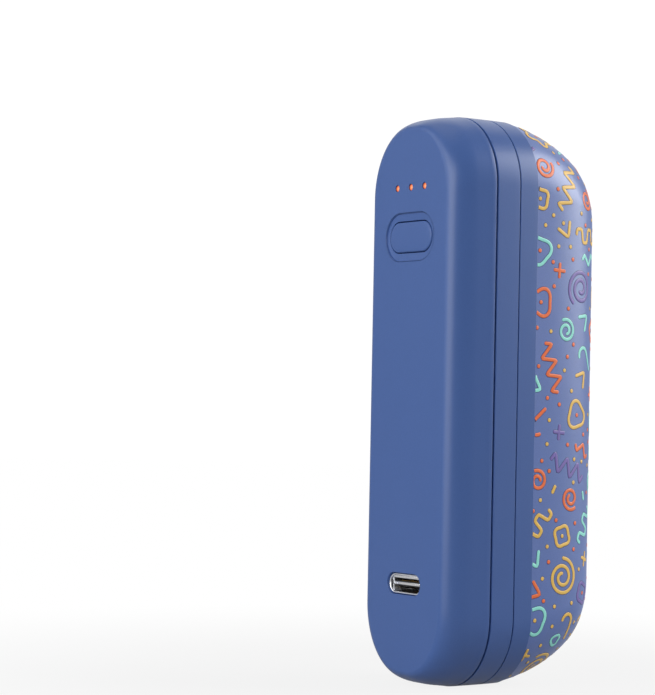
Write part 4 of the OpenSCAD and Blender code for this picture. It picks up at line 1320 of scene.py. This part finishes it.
def camera_matrix():
    """The camera's place: it looks back along the view's direction, is rolled about it, and is then turned
    by the least turn that brings the target from the middle of the frame to its own pixel."""
    a, e, r = (math.radians(v) for v in (VIEW_AZIMUTH, VIEW_ELEVATION, VIEW_ROLL))
    back = Vector((math.sin(a) * math.cos(e), -math.cos(a) * math.cos(e), math.sin(e)))
    right = (-back).cross(Vector((0, 0, 1))).normalized()
    up = right.cross(-back)
    rows = Matrix((right * math.cos(r) + up * math.sin(r), up * math.cos(r) - right * math.sin(r), back))
    off_x, off_y = ((pixel - size / 2) / FOCAL_PIXELS for pixel, size in zip(TARGET_PIXEL, FRAME_PIXELS))
    seen = Vector((off_x, -off_y, -1)).normalized()
    turn = Vector((0, 0, -1)).rotation_difference(seen).to_matrix()
    to_camera = turn @ rows
    target = Vector((0, TARGET_Y * MM, MID_Z * MM))
    place = to_camera.transposed().to_4x4()
    # The target lies at the view's distance along its own line of sight
    place.translation = target - to_camera.transposed() @ (seen * VIEW_DISTANCE)
    return place


# Lamps: place from the body's middle as right, up and towards the camera, size in metres, power in watts
LAMPS = {
    "front_window": ((-0.39, 0.20, 0.53), (0.56, 0.50), 3.3),
    "left_fill": ((-0.58, 0.30, 0.10), (0.56, 0.56), 1.2),
    "right_window": ((0.62, 0.28, -0.05), (0.42, 0.50), 3.65),
    "right_far": ((0.60, 0.26, -0.20), (0.40, 0.60), 0.9),
    "top_soft": ((-0.10, 0.70, -0.05), (0.50, 0.40), 0.42),
    "back_fill": ((0.05, 0.45, -0.55), (0.60, 0.50), 0.6),
}


class WARMER_OT_stage(bpy.types.Operator):
    """Makes the camera, the lights, the white backdrop and the pale floor."""

    bl_idname = "warmer.stage"
    bl_label = "Stage"

    def execute(self, context):
        scene = context.scene
        scene.view_settings.view_transform = "Standard"
        self.camera(scene)
        self.lamps(scene)
        self.backdrop(scene)
        self.floor()
        return {"FINISHED"}

    def camera(self, scene):
        data = bpy.data.cameras.new("photo_view")
        data.sensor_width = SENSOR
        data.lens = FOCAL_PIXELS * SENSOR / max(FRAME_PIXELS)
        data.clip_start, data.clip_end = 0.01, 20
        obj = bpy.data.objects.new("photo_view", data)
        obj.matrix_world = camera_matrix()
        scene.collection.objects.link(obj)
        scene.camera = obj

    def lamps(self, scene):
        """Soft windows round the body, placed from the camera, so the light falls as in the photograph."""
        axes = camera_matrix().to_3x3().normalized()
        middle = Vector((0, 0, MID_Z * MM))
        for name, (place, size, power) in LAMPS.items():
            data = bpy.data.lights.new(name, "AREA")
            data.shape = "RECTANGLE"
            data.size, data.size_y = size
            data.energy = power
            obj = bpy.data.objects.new(name, data)
            away = axes @ Vector(place)
            obj.location = middle + away
            obj.rotation_mode = "QUATERNION"
            obj.rotation_quaternion = (-away).to_track_quat("-Z", "Y")
            obj.visible_camera = False
            scene.collection.objects.link(obj)

    def backdrop(self, scene):
        """A world that is white to the camera and in reflections, and softer as light."""
        s = Shader("white_room", "World")
        strength = 0.03
        for ray, share in (("Is Camera Ray", 1.0), ("Is Transmission Ray", 1.0), ("Is Glossy Ray", 0.4)):
            strength = s.node("ShaderNodeLightPath", out=ray) * share + strength
        room = s.node("ShaderNodeBackground", values={"Color": (1, 1, 1, 1), "Strength": strength})
        scene.world = s.finish(room)

    def floor(self):
        """A pale disc under the body: white with the body's shadow to the camera, and clear from below."""
        radius, drop = 1500.0, 0.02
        ring = circle_rings(0.0, radius, 0, 0, steps=96)[0][:, [0, 2, 1]] - [0, 0, drop]
        p = Patches()
        p.disc(ring)
        s = Shader("floor_white")
        seen = s.node("ShaderNodeLightPath", out="Is Camera Ray")
        mirrored = s.node("ShaderNodeLightPath", out="Is Glossy Ray")
        base = s.blend(s.noise(60.0).ramp(0.3, 0.7), (0.40, 0.40, 0.40, 1), (0.43, 0.43, 0.43, 1))
        far = s.node("ShaderNodeVectorMath", {"operation": "LENGTH"}, {0: s.place()}, out="Value")
        white_share = far.ramp(0.03, 0.16, 0.86, 1.0) * (seen + mirrored * 0.3)
        lit = s.node("ShaderNodeBsdfDiffuse", values={"Color": base})
        white = s.node("ShaderNodeEmission", values={"Color": (1, 1, 1, 1), "Strength": 1.0})
        shown = s.node("ShaderNodeMixShader", values={0: white_share, 1: lit, 2: white})
        clear = s.node("ShaderNodeBsdfTransparent")
        below = s.node("ShaderNodeNewGeometry", out="Backfacing")
        material = s.finish(s.node("ShaderNodeMixShader", values={0: below, 1: shown, 2: clear}))
        obj = p.piece("floor", material, recalc=False)


OPERATORS = (
    WARMER_OT_back_casing,
    WARMER_OT_band_and_frame,
    WARMER_OT_front_panel,
    WARMER_OT_button,
    WARMER_OT_lights,
    WARMER_OT_socket,
    WARMER_OT_print,
    WARMER_OT_inner_parts,
    WARMER_OT_stage,
)


class WARMER_PT_tools(bpy.types.Panel):
    """Lists the steps that build the hand warmer."""

    bl_idname = "WARMER_PT_tools"
    bl_label = "Hand warmer"
    bl_space_type = "VIEW_3D"
    bl_region_type = "UI"
    bl_category = "Hand warmer"

    def draw(self, context):
        for operator in OPERATORS:
            self.layout.operator(operator.bl_idname)


CLASSES = (ShellSizes, DetailSizes, PrintSizes, Colours, Sizes, *OPERATORS, WARMER_PT_tools)


def register():
    for c in CLASSES:
        bpy.utils.register_class(c)
    bpy.types.Scene.hand_warmer = PointerProperty(type=Sizes)


def unregister():
    del bpy.types.Scene.hand_warmer
    for c in reversed(CLASSES):
        bpy.utils.unregister_class(c)


def main():
    register()
    for operator in OPERATORS:
        group, name = operator.bl_idname.split(".")
        getattr(getattr(bpy.ops, group), name)()


if __name__ == "__main__":
    main()
